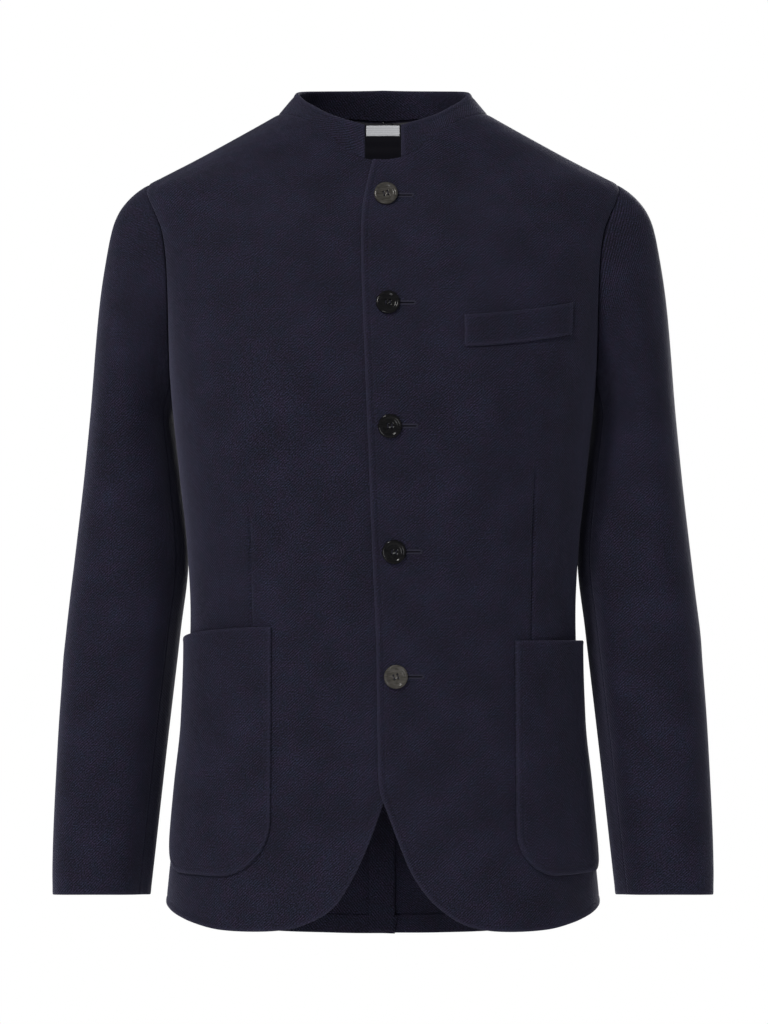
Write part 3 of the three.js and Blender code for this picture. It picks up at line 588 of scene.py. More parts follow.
# Twill weave: diagonal ridges that lean to the right, broken into floats, in yarns of mixed wool
weave = bpy.data.node_groups.new("wool twill weave", "ShaderNodeTree")
for socket, kind in (("Cloth", "NodeSocketVector"), ("Ridge Pitch", "NodeSocketFloat"),
                     ("Dark Wool", "NodeSocketColor"), ("Light Wool", "NodeSocketColor")):
    weave.interface.new_socket(socket, in_out="INPUT", socket_type=kind)
for socket, kind in (("Color", "NodeSocketColor"), ("Height", "NodeSocketFloat")):
    weave.interface.new_socket(socket, in_out="OUTPUT", socket_type=kind)
given = weave.nodes.new("NodeGroupInput").outputs
LEAN, RIDGE_PITCH = math.radians(43), 0.0019
cloth, pitch = given["Cloth"], given["Ridge Pitch"]
split = node(weave, "ShaderNodeSeparateXYZ", Vector=cloth).outputs
wander = maths(weave, "MULTIPLY", noise(weave, cloth, 55.0, Detail=2.0), 0.0014)
cross = maths(weave, "SUBTRACT", maths(weave, "MULTIPLY", split["Y"], math.cos(LEAN)),
              maths(weave, "MULTIPLY", split["X"], math.sin(LEAN)))
cross = maths(weave, "ADD", cross, wander)
lengthways = maths(weave, "ADD", maths(weave, "MULTIPLY", split["X"], math.cos(LEAN)),
                   maths(weave, "MULTIPLY", split["Y"], math.sin(LEAN)))


def waved(value, turn):
    """Sine wave of a value, from 0 to 1."""
    return maths(weave, "MULTIPLY_ADD", maths(weave, "SINE", maths(weave, "MULTIPLY", value, turn)), 0.5, 0.5)


turns = maths(weave, "DIVIDE", cross, pitch)
shift = maths(weave, "MULTIPLY", maths(weave, "FLOOR", turns), 0.37)
floats = maths(weave, "ADD", maths(weave, "DIVIDE", lengthways, pitch), shift)
ridge, step = waved(turns, 2 * math.pi), waved(floats, 4.6)
stretched = maths(weave, "MULTIPLY", lengthways, 0.35)
yarn_place = node(weave, "ShaderNodeCombineXYZ", X=stretched, Y=cross).outputs[0]
fleck = spread(weave, noise(weave, yarn_place, 1500.0, Detail=3.0, Roughness=0.7), 2.6)
speckle = spread(weave, noise(weave, cloth, 760.0, Detail=3.0, Roughness=0.7), 3.2)
worn = spread(weave, noise(weave, cloth, 140.0, Detail=2.0), 3.0, 0.55)
cloud = maths(weave, "SUBTRACT", noise(weave, cloth, 26.0, Detail=3.0), 0.45)
tint = spread(weave, noise(weave, cloth, 95.0, Detail=3.0, Roughness=0.65), 3.6)
ridge = maths(weave, "MULTIPLY_ADD", maths(weave, "SUBTRACT", ridge, 0.5),
              maths(weave, "MULTIPLY_ADD", worn, 0.75, 0.25), 0.5)
height = maths(weave, "MULTIPLY_ADD", step, 0.3, maths(weave, "MULTIPLY", ridge, 0.7))
height = maths(weave, "MULTIPLY_ADD", speckle, 0.25, height)
tone = maths(weave, "MULTIPLY_ADD", ridge, 0.44, maths(weave, "MULTIPLY", fleck, 0.24))
tone = maths(weave, "MULTIPLY_ADD", maths(weave, "SUBTRACT", speckle, 0.5), 0.55, tone)
tone = maths(weave, "ADD", tone, maths(weave, "MULTIPLY", cloud, 0.3), clamp=True)
wool = mixed(weave, maths(weave, "POWER", tone, 1.8), given["Dark Wool"], given["Light Wool"])
wool = mixed(weave, 0.5, wool, mixed(weave, tint, (0.66, 1.08, 1.1, 1), (1.26, 0.86, 1.08, 1)), "MULTIPLY")
put = weave.nodes.new("NodeGroupOutput")
weave.links.new(wool, put.inputs["Color"])
weave.links.new(height, put.inputs["Height"])


def twill_material(name, dark, light, **settings):
    """Twill cloth in two wools; its pressed rims are lightened by a painted highlight, mixed in by the rim
    attribute.
    """
    mat, tree, shader = new_material(name, Roughness=0.85, **settings)
    woven = tree.nodes.new("ShaderNodeGroup")
    woven.node_tree = weave
    for socket, value in (("Cloth", cloth_place(tree)), ("Ridge Pitch", RIDGE_PITCH),
                          ("Dark Wool", dark), ("Light Wool", light)):
        feed(tree, woven.inputs[socket], value)
    rim = node(tree, "ShaderNodeAttribute", attribute_name="rim").outputs["Fac"]
    # painted highlight: the rim mask mixes the cloth's colour towards a lighter navy along its edges
    pressed = maths(tree, "MULTIPLY", rim, 0.4)
    two_toned(tree, shader, pressed, woven.outputs["Color"], (0.016, 0.015, 0.03, 1))
    bumped(tree, shader, woven.outputs["Height"], 0.7, 0.0006)
    return mat


navy_twill = twill_material("navy twill", (0.0005, 0.0004, 0.0016, 1), (0.0325, 0.0297, 0.064, 1),
                            Sheen_Weight=0.1, Sheen_Roughness=0.4, Sheen_Tint=(0.6, 0.6, 0.9, 1),
                            Specular_IOR_Level=0.12)

sewing_thread, tree, shader = new_material("navy sewing thread", Roughness=0.7, Sheen_Weight=0.05,
                                           Specular_IOR_Level=0.15)
strands = noise(tree, object_place(tree), 2600.0, Detail=2.0)
two_toned(tree, shader, strands, (0.003, 0.0028, 0.007, 1), (0.0135, 0.0125, 0.026, 1))
bumped(tree, shader, strands, 0.4, 0.0002)

front_left = front_panel("front_left_cloth", "front_left", 1, LEFT_EDGE)
front_right = front_panel("front_right_cloth", "front_right", -1, RIGHT_EDGE)

# Back panels
# Two panels of the same twill, joined by a seam down the centre to the top of the vent. Below it the
# right panel runs on under the left one. Hems are turned up inside, and the vent's edge has a facing.
VENT_TOP, VENT_LAP = -530, 11
BACK_HEM = [(180, -731), (110, -743.5), (50, -747)]     # length before the centre back, height
CENTRE_BACK_HEM = -747.4
HEM_TURN_UP, VENT_FACING, SEAM_TAPE = 17.5, 24, 16


def inside_band(side, line, width, depth, thick, level=False, past=0):
    """A turned-in layer that lies inside a panel along a line of its edge; a level one runs straight in,
    and one that starts past the line covers a seam."""
    across_it = np.array([1.0, 1.3, 1.9, 3, 5, 8, 12,
                          width - 3, width - 1.2, width - 0.5, width - 0.1, width])
    run = run_length(line)
    at = np.linspace(1.2, run[-1] - 1.2, int(run[-1] / 4))
    inward = left_of(line, at, 6)[1] * (not level) + [-1.0 * level, 0]
    flat = read_line(line, at)[:, None] + (across_it - past)[None, :, None] * inward[:, None]
    faces = sheet_faces(flat)
    flat = flat.reshape(-1, 2)
    fall = thick * 0.42 * (1 - np.sqrt(1 - np.clip(1 - (width - across_it) / 0.9, 0, 1) ** 2))
    fall = np.tile(fall - thick * 0.5 * bump_at(across_it, width - 2.4, 1.0) * level, len(at))
    return (flat, cloth_point(side, *flat.T, -depth - fall),
            cloth_point(side, *flat.T, -depth - thick + fall), faces, 0 * fall)


def back_panel(name, node, side, past_centre):
    neckline = places(neck_place(np.linspace(math.pi, math.pi / 2, 110)))
    shoulder, armhole, side_seam = seams_of(2 * math.pi, SEAM / 2)
    z = np.linspace(CENTRE_BACK_HEM, neckline[0, 1], 360)
    past = past_centre * (1 - rise(VENT_TOP - 7, VENT_TOP + 7, z)) - SEAM / 2
    centre = places((centre_back(z) + past, z))
    centre[-1] = neckline[0]
    hem = smooth_line([side_seam[-1], *[(centre_back(z) - before, z) for before, z in BACK_HEM], centre[0]])
    legs = [armhole, side_seam, hem, centre, neckline, shoulder]
    depths = [0, 0.2, 0.6, 1.1, 1.9, 2.9, 4.2, 6.0, 8.0]
    steps = [ARM_STEPS, DOWN_STEPS - ARM_STEPS, OVER_STEPS, DOWN_STEPS,
             OVER_STEPS - SHOULDER_STEPS, SHOULDER_STEPS]
    windows = [1.5, 1.5, 1.5, 14.0, 1.5, 1.5]     # wide along the centre, which bends at the vent's top
    flat, faces = bordered(legs, [(0, 0), (2, 0), (3, 0), (4, 0)], depths, steps, windows)
    vent, sewn = centre[centre[:, 1] < VENT_TOP], centre[centre[:, 1] >= VENT_TOP]
    free_edge = distance_to(flat, hem, vent)
    outer, inner = panel_faces(side, flat, free_edge, [armhole, side_seam, sewn], [shoulder, neckline])
    # the last item is the mask of the painted highlight along the free edges
    parts = [(flat, outer, inner, faces, bump_at(free_edge, 1.2, 1.4) * 0.6)]
    layers = [(hem, HEM_TURN_UP, CLOTH + 0.1, 0.8, False)]
    for leg in (armhole, side_seam[side_seam[:, 1] > SIDE_HEM + 24]):
        layers.append((leg, SEAM_TAPE, CLOTH + 0.1, 0.5, False, SEAM_TAPE / 2))
    if past_centre:
        layers.append((vent, VENT_FACING, CLOTH + 1.0, 1.2, True))
    else:
        joined = centre[(centre[:, 1] > VENT_TOP + 8) & (centre[:, 1] < -118)]
        layers.append((joined, SEAM_TAPE, CLOTH + 0.1, 0.5, True, SEAM_TAPE / 2))
    parts += [inside_band(side, *layer) for layer in layers]
    count = np.cumsum([0] + [len(part[0]) for part in parts])
    flat, outer, inner, rim = (np.concatenate([part[k] for part in parts]) for k in (0, 1, 2, 4))
    faces = np.concatenate([part[3] + start for part, start in zip(parts, count)])
    panel = shell(name, outer, inner, faces, cloth_uv(side, flat), rim, side < 0)
    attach(panel, "root")
    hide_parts(node)
    panel.data.materials.append(navy_twill)
    return panel


back_left = back_panel("back_left_cloth", "back_left", 1, 0)
back_right = back_panel("back_right_cloth", "back_right", -1, VENT_LAP)

# Sleeves
# Two-piece sleeves of the same twill, a wide top sleeve and a narrow under sleeve. Their heads are eased
# into the armholes and stand up a little round the shoulder; cuffs are turned up inside.
BICEP, CUFF = -276, -699
SLEEVE = np.array([(-276, 263, 190, 23, 68), (-330, 268.6, 183.4, 21, 64), (-400, 276.6, 177, 14, 60),
                   (-463, 283.4, 183.4, 4, 56), (-571, 290.4, 195.4, -13, 52), (-679, 293.8, 207, -27, 46),
                   (-699, 293.2, 209.2, -30, 44.5)])     # height, outer and inner x, middle y, half depth
SLEEVE_ROUND, SLEEVE_SKEW, CUFF_SLANT = 2.15, 8, 0.08
HEAD_TILT, HEAD_EASE = math.radians(64), 3
CUFF_TURN_UP = 39.4, 38.2     # heights above the cuff between which the turned-up layer ends
ARMHOLE_STEPS, SLEEVE_SEAM_FRONT, SLEEVE_SEAM_BACK = 26, 11, 18
# Folds at the elbow's height, and four long ones along the front seams: side, middle turn in degrees,
# middle height, half turn, half height, rise
SLEEVE_FOLDS = [(1, 70, -430, 34, 16, -2.2), (1, 60, -470, 40, 18, 1.6), (1, 300, -500, 36, 18, -1.8),
                (-1, 75, -445, 36, 17, -2), (-1, 62, -488, 40, 18, 1.6), (-1, 295, -520, 36, 18, -1.8),
                (1, 162, -500, 12, 210, -1.2), (1, 131, -500, 17, 210, 4.2),
                (-1, 162, -500, 12, 210, -1.2), (-1, 131, -500, 17, 210, 3.0)]


def sleeve_section(angle, z):
    outer, inner, y, depth = (down_table(SLEEVE, k, z) for k in (1, 2, 3, 4))
    x, front = np.cos(angle), np.sin(angle)
    reach = (np.abs(x) ** SLEEVE_ROUND + np.abs(front) ** SLEEVE_ROUND) ** (-1 / SLEEVE_ROUND)
    slant = CUFF_SLANT * depth * front * rise(BICEP, CUFF, z)
    across_it = (outer + inner) / 2 + (outer - inner) / 2 * reach * x + SLEEVE_SKEW * front
    return np.stack(np.broadcast_arrays(across_it, y - depth * reach * front, z + slant), -1)


def sleeve_surface(down, angle):
    """Points of the plain sleeve: down runs 0 to 1 over the head and 1 to 2 along the tube."""
    s, z = armhole_place(angle)
    start, end = body_surface(s, z), sleeve_section(angle, BICEP)
    tilt = HEAD_TILT * np.maximum((z - UNDERARM) / (SHOULDER_TIP - UNDERARM), 0) ** 0.6
    leave = np.stack([np.sin(tilt), 0 * tilt, -np.cos(tilt)], -1)
    arrive = unit(sleeve_section(angle, BICEP - 10) - end)
    reach = np.linalg.norm(start - end, axis=-1)[:, None]
    t = np.clip(down, 0, 1)[:, None, None]
    head = (start * (1 + 2 * t) * (1 - t) ** 2 + leave * 0.7 * reach * t * (1 - t) ** 2
            + end * t * t * (3 - 2 * t) + arrive * 1.18 * reach * t * t * (t - 1))
    tube = sleeve_section(angle[None, :], (BICEP + (CUFF - BICEP) * np.clip(down - 1, 0, 1))[:, None])
    return np.where((down > 1)[:, None, None], tube, head)


def sleeve_piece(name, node, side, from_step, to_step, columns):
    turn = 2 * math.pi / ARMHOLE_STEPS
    near_seam = np.array([0, 0.2, 0.6, 1.2, 2.0, 3.0]) / 55
    start, stop = from_step * turn, to_step * turn
    angle = np.concatenate([start + near_seam, np.linspace(start + 0.09, stop - 0.09, columns),
                            stop - near_seam[::-1]])
    cuff_rows = np.array([0, 0.2, 0.6, 1.1, 1.9, 3, 4.5])
    below = np.unique(np.concatenate([cuff_rows, CUFF_TURN_UP, np.arange(8, 420, 3.7)]))[::-1]
    down = np.concatenate([[0, 0.0012, 0.004, 0.008, 0.014, 0.022, 0.034], np.linspace(0.05, 1, 54),
                           2 - below[below < 419] / (BICEP - CUFF)])
    point = sleeve_surface(down, angle)
    near = 0.012
    round_it = sleeve_surface(down, angle + near) - sleeve_surface(down, angle - near)
    length = (sleeve_surface(np.minimum(down + near, 2), angle)
              - sleeve_surface(np.maximum(down - near, 0), angle))
    normal = unit(np.cross(round_it, length))
    walk, across_it = run_length(point, 0), run_length(point, 1)
    cuff_edge = walk[-1] - walk
    seam_edge = np.minimum(across_it, across_it[:, -1:] - across_it)
    lift = HEAD_EASE * np.maximum(np.cos(angle), 0)[None] * np.exp(-((down[:, None] - 0.24) / 0.13) ** 2)
    for fold_side, fold_angle, fold_z, half_turn, tall, height in SLEEVE_FOLDS:
        if fold_side == side:
            away = (np.degrees(angle)[None] - fold_angle + 540) % 360 - 180
            lift = lift + rise(1, 1.12, down)[:, None] * height * np.exp(
                -(away / half_turn) ** 2 - ((point[..., 2] - fold_z) / tall) ** 2)
    at_tip = np.clip(np.cos(angle), 0, 1)[None] ** 6
    shape = lift + sewn_in(walk, 1.1 - 0.75 * at_tip) + sewn_in(seam_edge, 0.45) + 0.3 * swelled(cuff_edge)
    outer = point + normal * (shape - folded_edge(cuff_edge))[..., None]
    turned_up = 0.7 * rise(*CUFF_TURN_UP, cuff_edge)
    inner = point + normal * (lift - CLOTH + folded_edge(cuff_edge) - turned_up)[..., None]
    zero = np.interp(0, angle, np.arange(len(angle))) if start < 0 < stop else 0
    middle = np.stack([np.interp(zero, np.arange(len(angle)), row) for row in across_it])[:, None]
    bicep_walk = walk[np.argmax(down >= 1)][None]
    uv = np.stack([-side * (across_it - middle) + side * 900, bicep_walk - walk], -1).reshape(-1, 2)
    flip = np.array([side, 1, 1])
    # the cuff's rim mask carries a painted highlight
    piece = shell(name, outer.reshape(-1, 3) * flip, inner.reshape(-1, 3) * flip, sheet_faces(point, True),
                  uv, 0.6 * bump_at(cuff_edge.ravel(), 1.2, 1.4), side > 0)
    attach(piece, "root")
    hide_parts(node)
    piece.data.materials.append(navy_twill)
    return piece


for side, word in ((1, "left"), (-1, "right")):
    top_sleeve = sleeve_piece(f"sleeve_top_{word}_cloth", f"sleeve_top_{word}", side,
                              SLEEVE_SEAM_BACK - ARMHOLE_STEPS, SLEEVE_SEAM_FRONT, 62)
    under_sleeve = sleeve_piece(f"sleeve_under_{word}_cloth", f"sleeve_under_{word}", side,
                                SLEEVE_SEAM_FRONT, SLEEVE_SEAM_BACK, 24)

# Stand collar
# Two layers of twill with a stay between, sewn round the neckline. Its ends stand apart over the first
# button, and its upper edge is turned and pressed.
COLLAR_WALL, COLLAR_TOP_HALF, COLLAR_TOP_FRONT, COLLAR_TOP_BACK = 3, 77, 51, 57
COLLAR_RIM = np.array([(-12, -12.6), (-38, -2), (-55, 7), (-90, 20.5), (-135, 25.5), (-180, 27.5)])
ends = np.concatenate([[0, 0.3, 0.8, 1.4, 2.1, 3], np.linspace(4.5, 130, 42)]) / 130
quarter_turn = math.asin(COLLAR_GAP_HALF / NECK_HALF), math.asin(COLLAR_GAP_HALF / COLLAR_TOP_HALF)
half_turn, half_top = (np.concatenate([first + ends * (math.pi / 2 - first),
                                       np.linspace(math.pi / 2, math.pi, 44)[1:]]) for first in quarter_turn)


def collar_posts(side):
    s, z = neck_place(half_turn)
    reach = np.where(np.cos(half_top) > 0, COLLAR_TOP_FRONT, COLLAR_TOP_BACK)
    rim = down_table(COLLAR_RIM, 1, -np.degrees(half_top))
    top = np.stack([COLLAR_TOP_HALF * np.sin(half_top), -reach * np.cos(half_top), rim], -1)
    mirror = np.array([side, 1, 1])
    return cloth_point(side, s, z), body_normal(s, z) * mirror, top * mirror


left_posts, right_posts = collar_posts(1), collar_posts(-1)
base, normal, top = (np.concatenate([a, b[::-1][1:]]) for a, b in zip(left_posts, right_posts))
ahead = np.minimum(np.arange(len(base)) + 1, len(base) - 1)
behind = np.maximum(np.arange(len(base)) - 1, 0)
round_it = base[ahead] - base[behind] + top[ahead] - top[behind]
up = unit(top - base)
facing = unit(np.cross(round_it, up))
facing *= np.sign((facing[:, :2] * base[:, :2]).sum(1))[:, None]
tall = np.linalg.norm(top - base, axis=1)
from_base = np.array([0, 0.5, 1.1, 1.8, 2.8, 4])
from_top = np.array([6, 4.5, 3.2, 2.2, 1.4, 0.8, 0.35, 0])
share = np.concatenate([from_base[None] / tall[:, None],
                        np.linspace(0, 1, 12)[None, 1:-1] * (1 - 10 / tall[:, None]) + 4 / tall[:, None],
                        1 - from_top[None] / tall[:, None]], axis=1).T
height_up, height_down = share * tall, (1 - share) * tall
run = run_length(base * 0.5 + top * 0.5)
end_edge = np.minimum(run, run[-1] - run)[None] + 0 * share
edge = np.minimum(height_down, end_edge)
lean = np.clip(height_up / 4, 0, 1)[..., None]
way_out = unit(normal[None] * (1 - lean) + facing[None] * lean)
wall = base[None] + (top - base)[None] * share[..., None]
rounding = folded_edge(edge, COLLAR_WALL / 2)
shape = sewn_in(height_up, 0.5) + 0.35 * bump_at(edge, 3, 2) - 0.35 * bump_at(edge, 6.3, 1.2)
outer = (wall + way_out * (shape - rounding)[..., None]).reshape(-1, 3)
inner = (wall + way_out * (rounding - COLLAR_WALL)[..., None]).reshape(-1, 3)
uv = np.stack([run[None] - run[-1] / 2 + 0 * share, height_up], -1).reshape(-1, 2)
# the edge mask carries a painted highlight on the collar's rims
collar = shell("collar_cloth", outer, inner, sheet_faces(share, True), uv,
               0.7 * bump_at(edge.ravel(), 1.5, 2), False)
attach(collar, "root")
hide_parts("collar")
collar.data.materials.append(navy_twill)

# Patch pockets
# Round-cornered patches of the twill sewn on the fronts, stitched 6 mm inside their edges. The mouths
# are open and stand off the cloth a little.
POCKET_WALL, POCKET_LIFT, POCKET_GAPE = 3, 0.8, 3.1
PRESSED_WIDTH = 5.5


def patch(name, node, side, legs, steps, depths, lift, wall_thick, sewn, mouth, stitch_inset):
    """A patch on a front panel: its edge is turned in and stitched where it is sewn on."""
    flat, faces = bordered(legs, [(k, 0) for k in range(4)], depths, steps)
    s, z = flat.T
    edge, opening = distance_to(flat, np.concatenate(sewn)), distance_to(flat, mouth)
    raise_it = lift(s, z)
    pressed = 0.3 * wall_thick * np.exp(-(edge / PRESSED_WIDTH) ** 2)
    stitched = 0.3 * bump_at(edge, stitch_inset, 1.0)
    shape = 0.3 * bump_at(edge, stitch_inset / 2, 2) - stitched - pressed + 0.25 * bump_at(opening, 2, 1.6)
    rounding = folded_edge(np.minimum(edge, opening), wall_thick / 2) * 0.8
    outer = cloth_point(side, s, z, raise_it + wall_thick + shape - rounding)
    inner = cloth_point(side, s, z, raise_it + rounding * 0.4)
    # mask of the painted highlight along the sewn edges and the mouth
    rim = 0.8 * bump_at(edge, 1.3, 1.5) + 0.5 * bump_at(opening, 1.5, 1.2)
    piece = shell(name, outer, inner, faces, cloth_uv(side, flat), rim, side < 0)
    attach(piece, "root")
    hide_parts(node)
    piece.data.materials.append(navy_twill)
    seat = wall_thick - 0.35 - 0.3 * wall_thick * math.exp(-(stitch_inset / PRESSED_WIDTH) ** 2)
    stitching(name.replace("cloth", "stitching"), side, np.concatenate(sewn), stitch_inset,
              lambda s, z: lift(s, z) + seat)
    return piece


def pocket(name, node, side, start, width, mouth_front, mouth_back, bottom, corner):
    turn = np.stack([np.linspace(0, math.pi / 4, 24), np.linspace(math.pi / 4, math.pi / 2, 24)])
    arc, arc_low = np.stack([start + corner * (1 - np.cos(turn)), bottom + corner * (1 - np.sin(turn))], -1)
    over = np.linspace(0, 1, 80)
    mouth_line = np.stack([start + over * width, mouth_front + (mouth_back - mouth_front) * over ** 1.5], -1)

    def mirrored(line):
        return np.stack([2 * start + width - line[:, 0], line[:, 1]], -1)[::-1]

    def with_straight(a, b, gap=1.5):
        n = max(int(np.linalg.norm(b - a) / gap), 2)
        return a + (b - a) * np.linspace(0, 1, n)[:-1, None]

    front_leg = np.concatenate([with_straight(mouth_line[0], arc[0]), arc])
    back_arc, back_low = mirrored(arc), mirrored(arc_low)
    back_leg = np.concatenate([back_arc, back_arc[-1] + (mouth_line[-1] - back_arc[-1])
                               * np.linspace(0, 1, 120)[1:, None]])
    low_leg = np.concatenate([arc_low[:-1], with_straight(arc_low[-1], back_low[0]), back_low])
    legs = [front_leg, low_leg, back_leg, mouth_line[::-1]]

    def lift(s, z):
        over = np.clip((s - start) / width, 0, 1)
        high = mouth_front + (mouth_back - mouth_front) * over ** 1.5
        up_it = np.clip((z - bottom - corner) / (high - bottom - corner), 0, 1)
        return POCKET_LIFT + POCKET_GAPE * up_it ** 2 * np.sin(math.pi * 0.8 * over)

    depths = [0, 0.3, 0.8, 1.5, 2.3, 3.2, 4.2, 5.2, 6.0, 6.7, 7.5, 9.0]
    return patch(name, node, side, legs, steps=[66, 46, 66, 46], depths=depths, lift=lift,
                 wall_thick=POCKET_WALL, sewn=legs[:3], mouth=mouth_line, stitch_inset=6.3)


pocket_right = pocket("pocket_right_cloth", "pocket_right", -1, start=99, width=152, mouth_front=-457.5,
                      mouth_back=-473, bottom=-677, corner=52)
pocket_left = pocket("pocket_left_cloth", "pocket_left", 1, start=119, width=148, mouth_front=-470,
                     mouth_back=-474, bottom=-677, corner=42)

# Chest welt
# A narrow folded strip of twill over the breast pocket, sewn down along its lower edge and both ends,
# and rising towards the armhole.
WELT_START, WELT_LENGTH, WELT_BOTTOM, WELT_RISE, WELT_HEIGHT, WELT_WALL = 71.5, 101, -213, 12, 28, 2.5
over = np.linspace(0, 1, 80)
welt_low = np.stack([WELT_START + over * WELT_LENGTH, WELT_BOTTOM + WELT_RISE * over ** 1.6], -1)
welt_high = welt_low + [0, WELT_HEIGHT]
upright = np.linspace(0, 1, 24)[:, None]
welt_legs = [welt_high[0] + (welt_low[0] - welt_high[0]) * upright, welt_low,
             welt_low[-1] + (welt_high[-1] - welt_low[-1]) * upright, welt_high[::-1]]
welt = patch("breast_welt_cloth", "breast_welt", 1, welt_legs, steps=[12, 44, 12, 44],
             depths=[0, 0.3, 0.8, 1.4, 2.1, 3.0, 4.0, 5.0], lift=lambda s, z: 0.6 + 0 * s,
             wall_thick=WELT_WALL, sewn=welt_legs[:3], mouth=welt_high, stitch_inset=2.2)

# Yoke lining
# Black satin against the inside of the upper back, with a pleat down the middle for ease.
YOKE_BOTTOM, YOKE_HALF, LINING_LIFT, LINING_THICK = -113.0, 128, 0.4, 0.9
turns = np.concatenate([[0, 0.012, 0.019, 0.022, 0.025, 0.03, 0.045, 0.07],
                        np.linspace(0.1, math.pi / 2, 34)])
neck_line = places(neck_place(math.pi - turns)) - [0, 1.6]
z = np.linspace(-1.6, -21, 11)[1:]
yoke_top = np.concatenate([neck_line, places((side_line(z) + 1.2, z))])
walk = run_length(yoke_top)
yoke_low = places((centre_back(YOKE_BOTTOM) - YOKE_HALF * walk / walk[-1], YOKE_BOTTOM))
down = np.linspace(0, 1, 40)[:, None, None]
half = yoke_top[None] * (1 - down) + yoke_low[None] * down
half[:, 0, 0] = centre_back(half[:, 0, 1])
lining_points = []
for out in (-CLOTH - LINING_LIFT, -CLOTH - LINING_LIFT - LINING_THICK):
    halves = []
    for side in (1, -1):
        s, z = half[..., 0], half[..., 1]
        pleat = 1.1 * np.exp(-((walk[None] * side - 2) / 16) ** 2) * (1 - rise(1.9, 2.3, walk[None] * side))
        wave = 0.5 * np.sin(s * 0.11 + z * 0.05) * rise(-4, -30, z)
        halves.append(cloth_point(side, s, z, out - np.abs(wave) - pleat * rise(-105, -70, z)))
    lining_points.append(np.concatenate([halves[0][:, ::-1], halves[1][:, 1:]], axis=1))
faces = sheet_faces(lining_points[0])
outer, inner = (points.reshape(-1, 3) for points in lining_points)
lining = shell("yoke_lining_cloth", outer, inner, faces, outer[:, [0, 2]], 0 * outer[:, 0], True)
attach(lining, "root")
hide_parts("yoke_lining")
satin, tree, shader = new_material("black satin lining", Roughness=0.5, Sheen_Weight=0.02,
                                   Specular_IOR_Level=0.14)
stretched = node(tree, "ShaderNodeMapping", Vector=cloth_place(tree), Scale=(1, 8, 1)).outputs[0]
thread = noise(tree, stretched, 900.0, Detail=2.0)
two_toned(tree, shader, thread, (0.0012, 0.0012, 0.0024, 1), (0.0055, 0.0052, 0.0095, 1))
bumped(tree, shader, thread, 0.2, 0.0002)
lining.data.materials.append(satin)

# Neck label
# A blank woven label, its ends folded under and stitched to the lining.
LABEL_HALF, LABEL_TOP, LABEL_BOTTOM, LABEL_FACES = 15.5, -3.4, -13, (-4.15, -4.95)
column = np.concatenate([[0, 0.15, 0.5, 1], np.linspace(2, 2 * LABEL_HALF - 2, 26),
                         2 * LABEL_HALF - np.array([1, 0.5, 0.15, 0])])
row = np.concatenate([[0, 0.15, 0.5], np.linspace(1, 8.6, 10), [9.1, 9.45, 9.6]])
x, z = np.meshgrid(column - LABEL_HALF, LABEL_TOP - row)
edge = np.minimum.reduce([x + LABEL_HALF, LABEL_HALF - x, LABEL_TOP - z, z - LABEL_BOTTOM])
fold = folded_edge(edge, 0.4)
outer, inner = (cloth_point(1, centre_back(z) + x, z, out).reshape(-1, 3)
                for out in (LABEL_FACES[0] - fold, LABEL_FACES[1] + fold))
label = shell("neck_label_cloth", outer, inner, sheet_faces(x), np.stack([x, z], -1).reshape(-1, 2),
              np.zeros(x.size), False)
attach(label, "root")
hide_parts("neck_label")
woven_white, tree, shader = new_material("blank woven label", Roughness=0.75, Sheen_Weight=0.2)
cloth = cloth_place(tree)
thread = node(tree, "ShaderNodeTexWave", Vector=cloth, Scale=160.0, Distortion=0.6, bands_direction="Y")
mottle = maths(tree, "MULTIPLY", noise(tree, cloth, 700.0, Detail=2.0), 0.6)
weft = maths(tree, "MULTIPLY_ADD", thread.outputs["Fac"], 0.4, mottle)
two_toned(tree, shader, weft, (0.44, 0.45, 0.48, 1), (0.68, 0.69, 0.72, 1))
bumped(tree, shader, weft, 0.3, 0.0001)
label.data.materials.append(woven_white)

# Buttonholes
# Buttonholes on the left front, whipped all round with navy thread, with a dark sheet of painted shade
# between the whipping where the slit would be. Each button sits over the end near the edge, and the rest
# shows beside it.
# Length round from the centre front, height and turn in degrees
BUTTONS = [(2.6, -78, 14), (4.4, -174.6, 0), (6.1, -282.5, 4), (9.6, -392, -8), (11.3, -501, 16)]
HOLE_FROM, HOLE_TO, WHIP_HALF_GAP, WHIP_RADIUS = -5, 24, 1.25, 0.78     # lengths beside the button's middle
WHIP_STEPS = 120

# painted shade: a near-black material for the sheet that stands for the shadow in each slit
shaded, tree, shader = new_material("painted shade in the slit", Roughness=1.0, Specular_IOR_Level=0.05)
slit_shade_mottle = noise(tree, object_place(tree), 3000.0)
two_toned(tree, shader, slit_shade_mottle, (0.0005, 0.0005, 0.001, 1), (0.002, 0.002, 0.004, 1))


def points_of(mesh):
    flat = np.empty(3 * len(mesh.vertices))
    mesh.vertices.foreach_get("co", flat)
    return flat.reshape(-1, 3) * 1000


def place_points(mesh, points):
    mesh.vertices.foreach_set("co", (points / 1000).ravel())
    mesh.update()


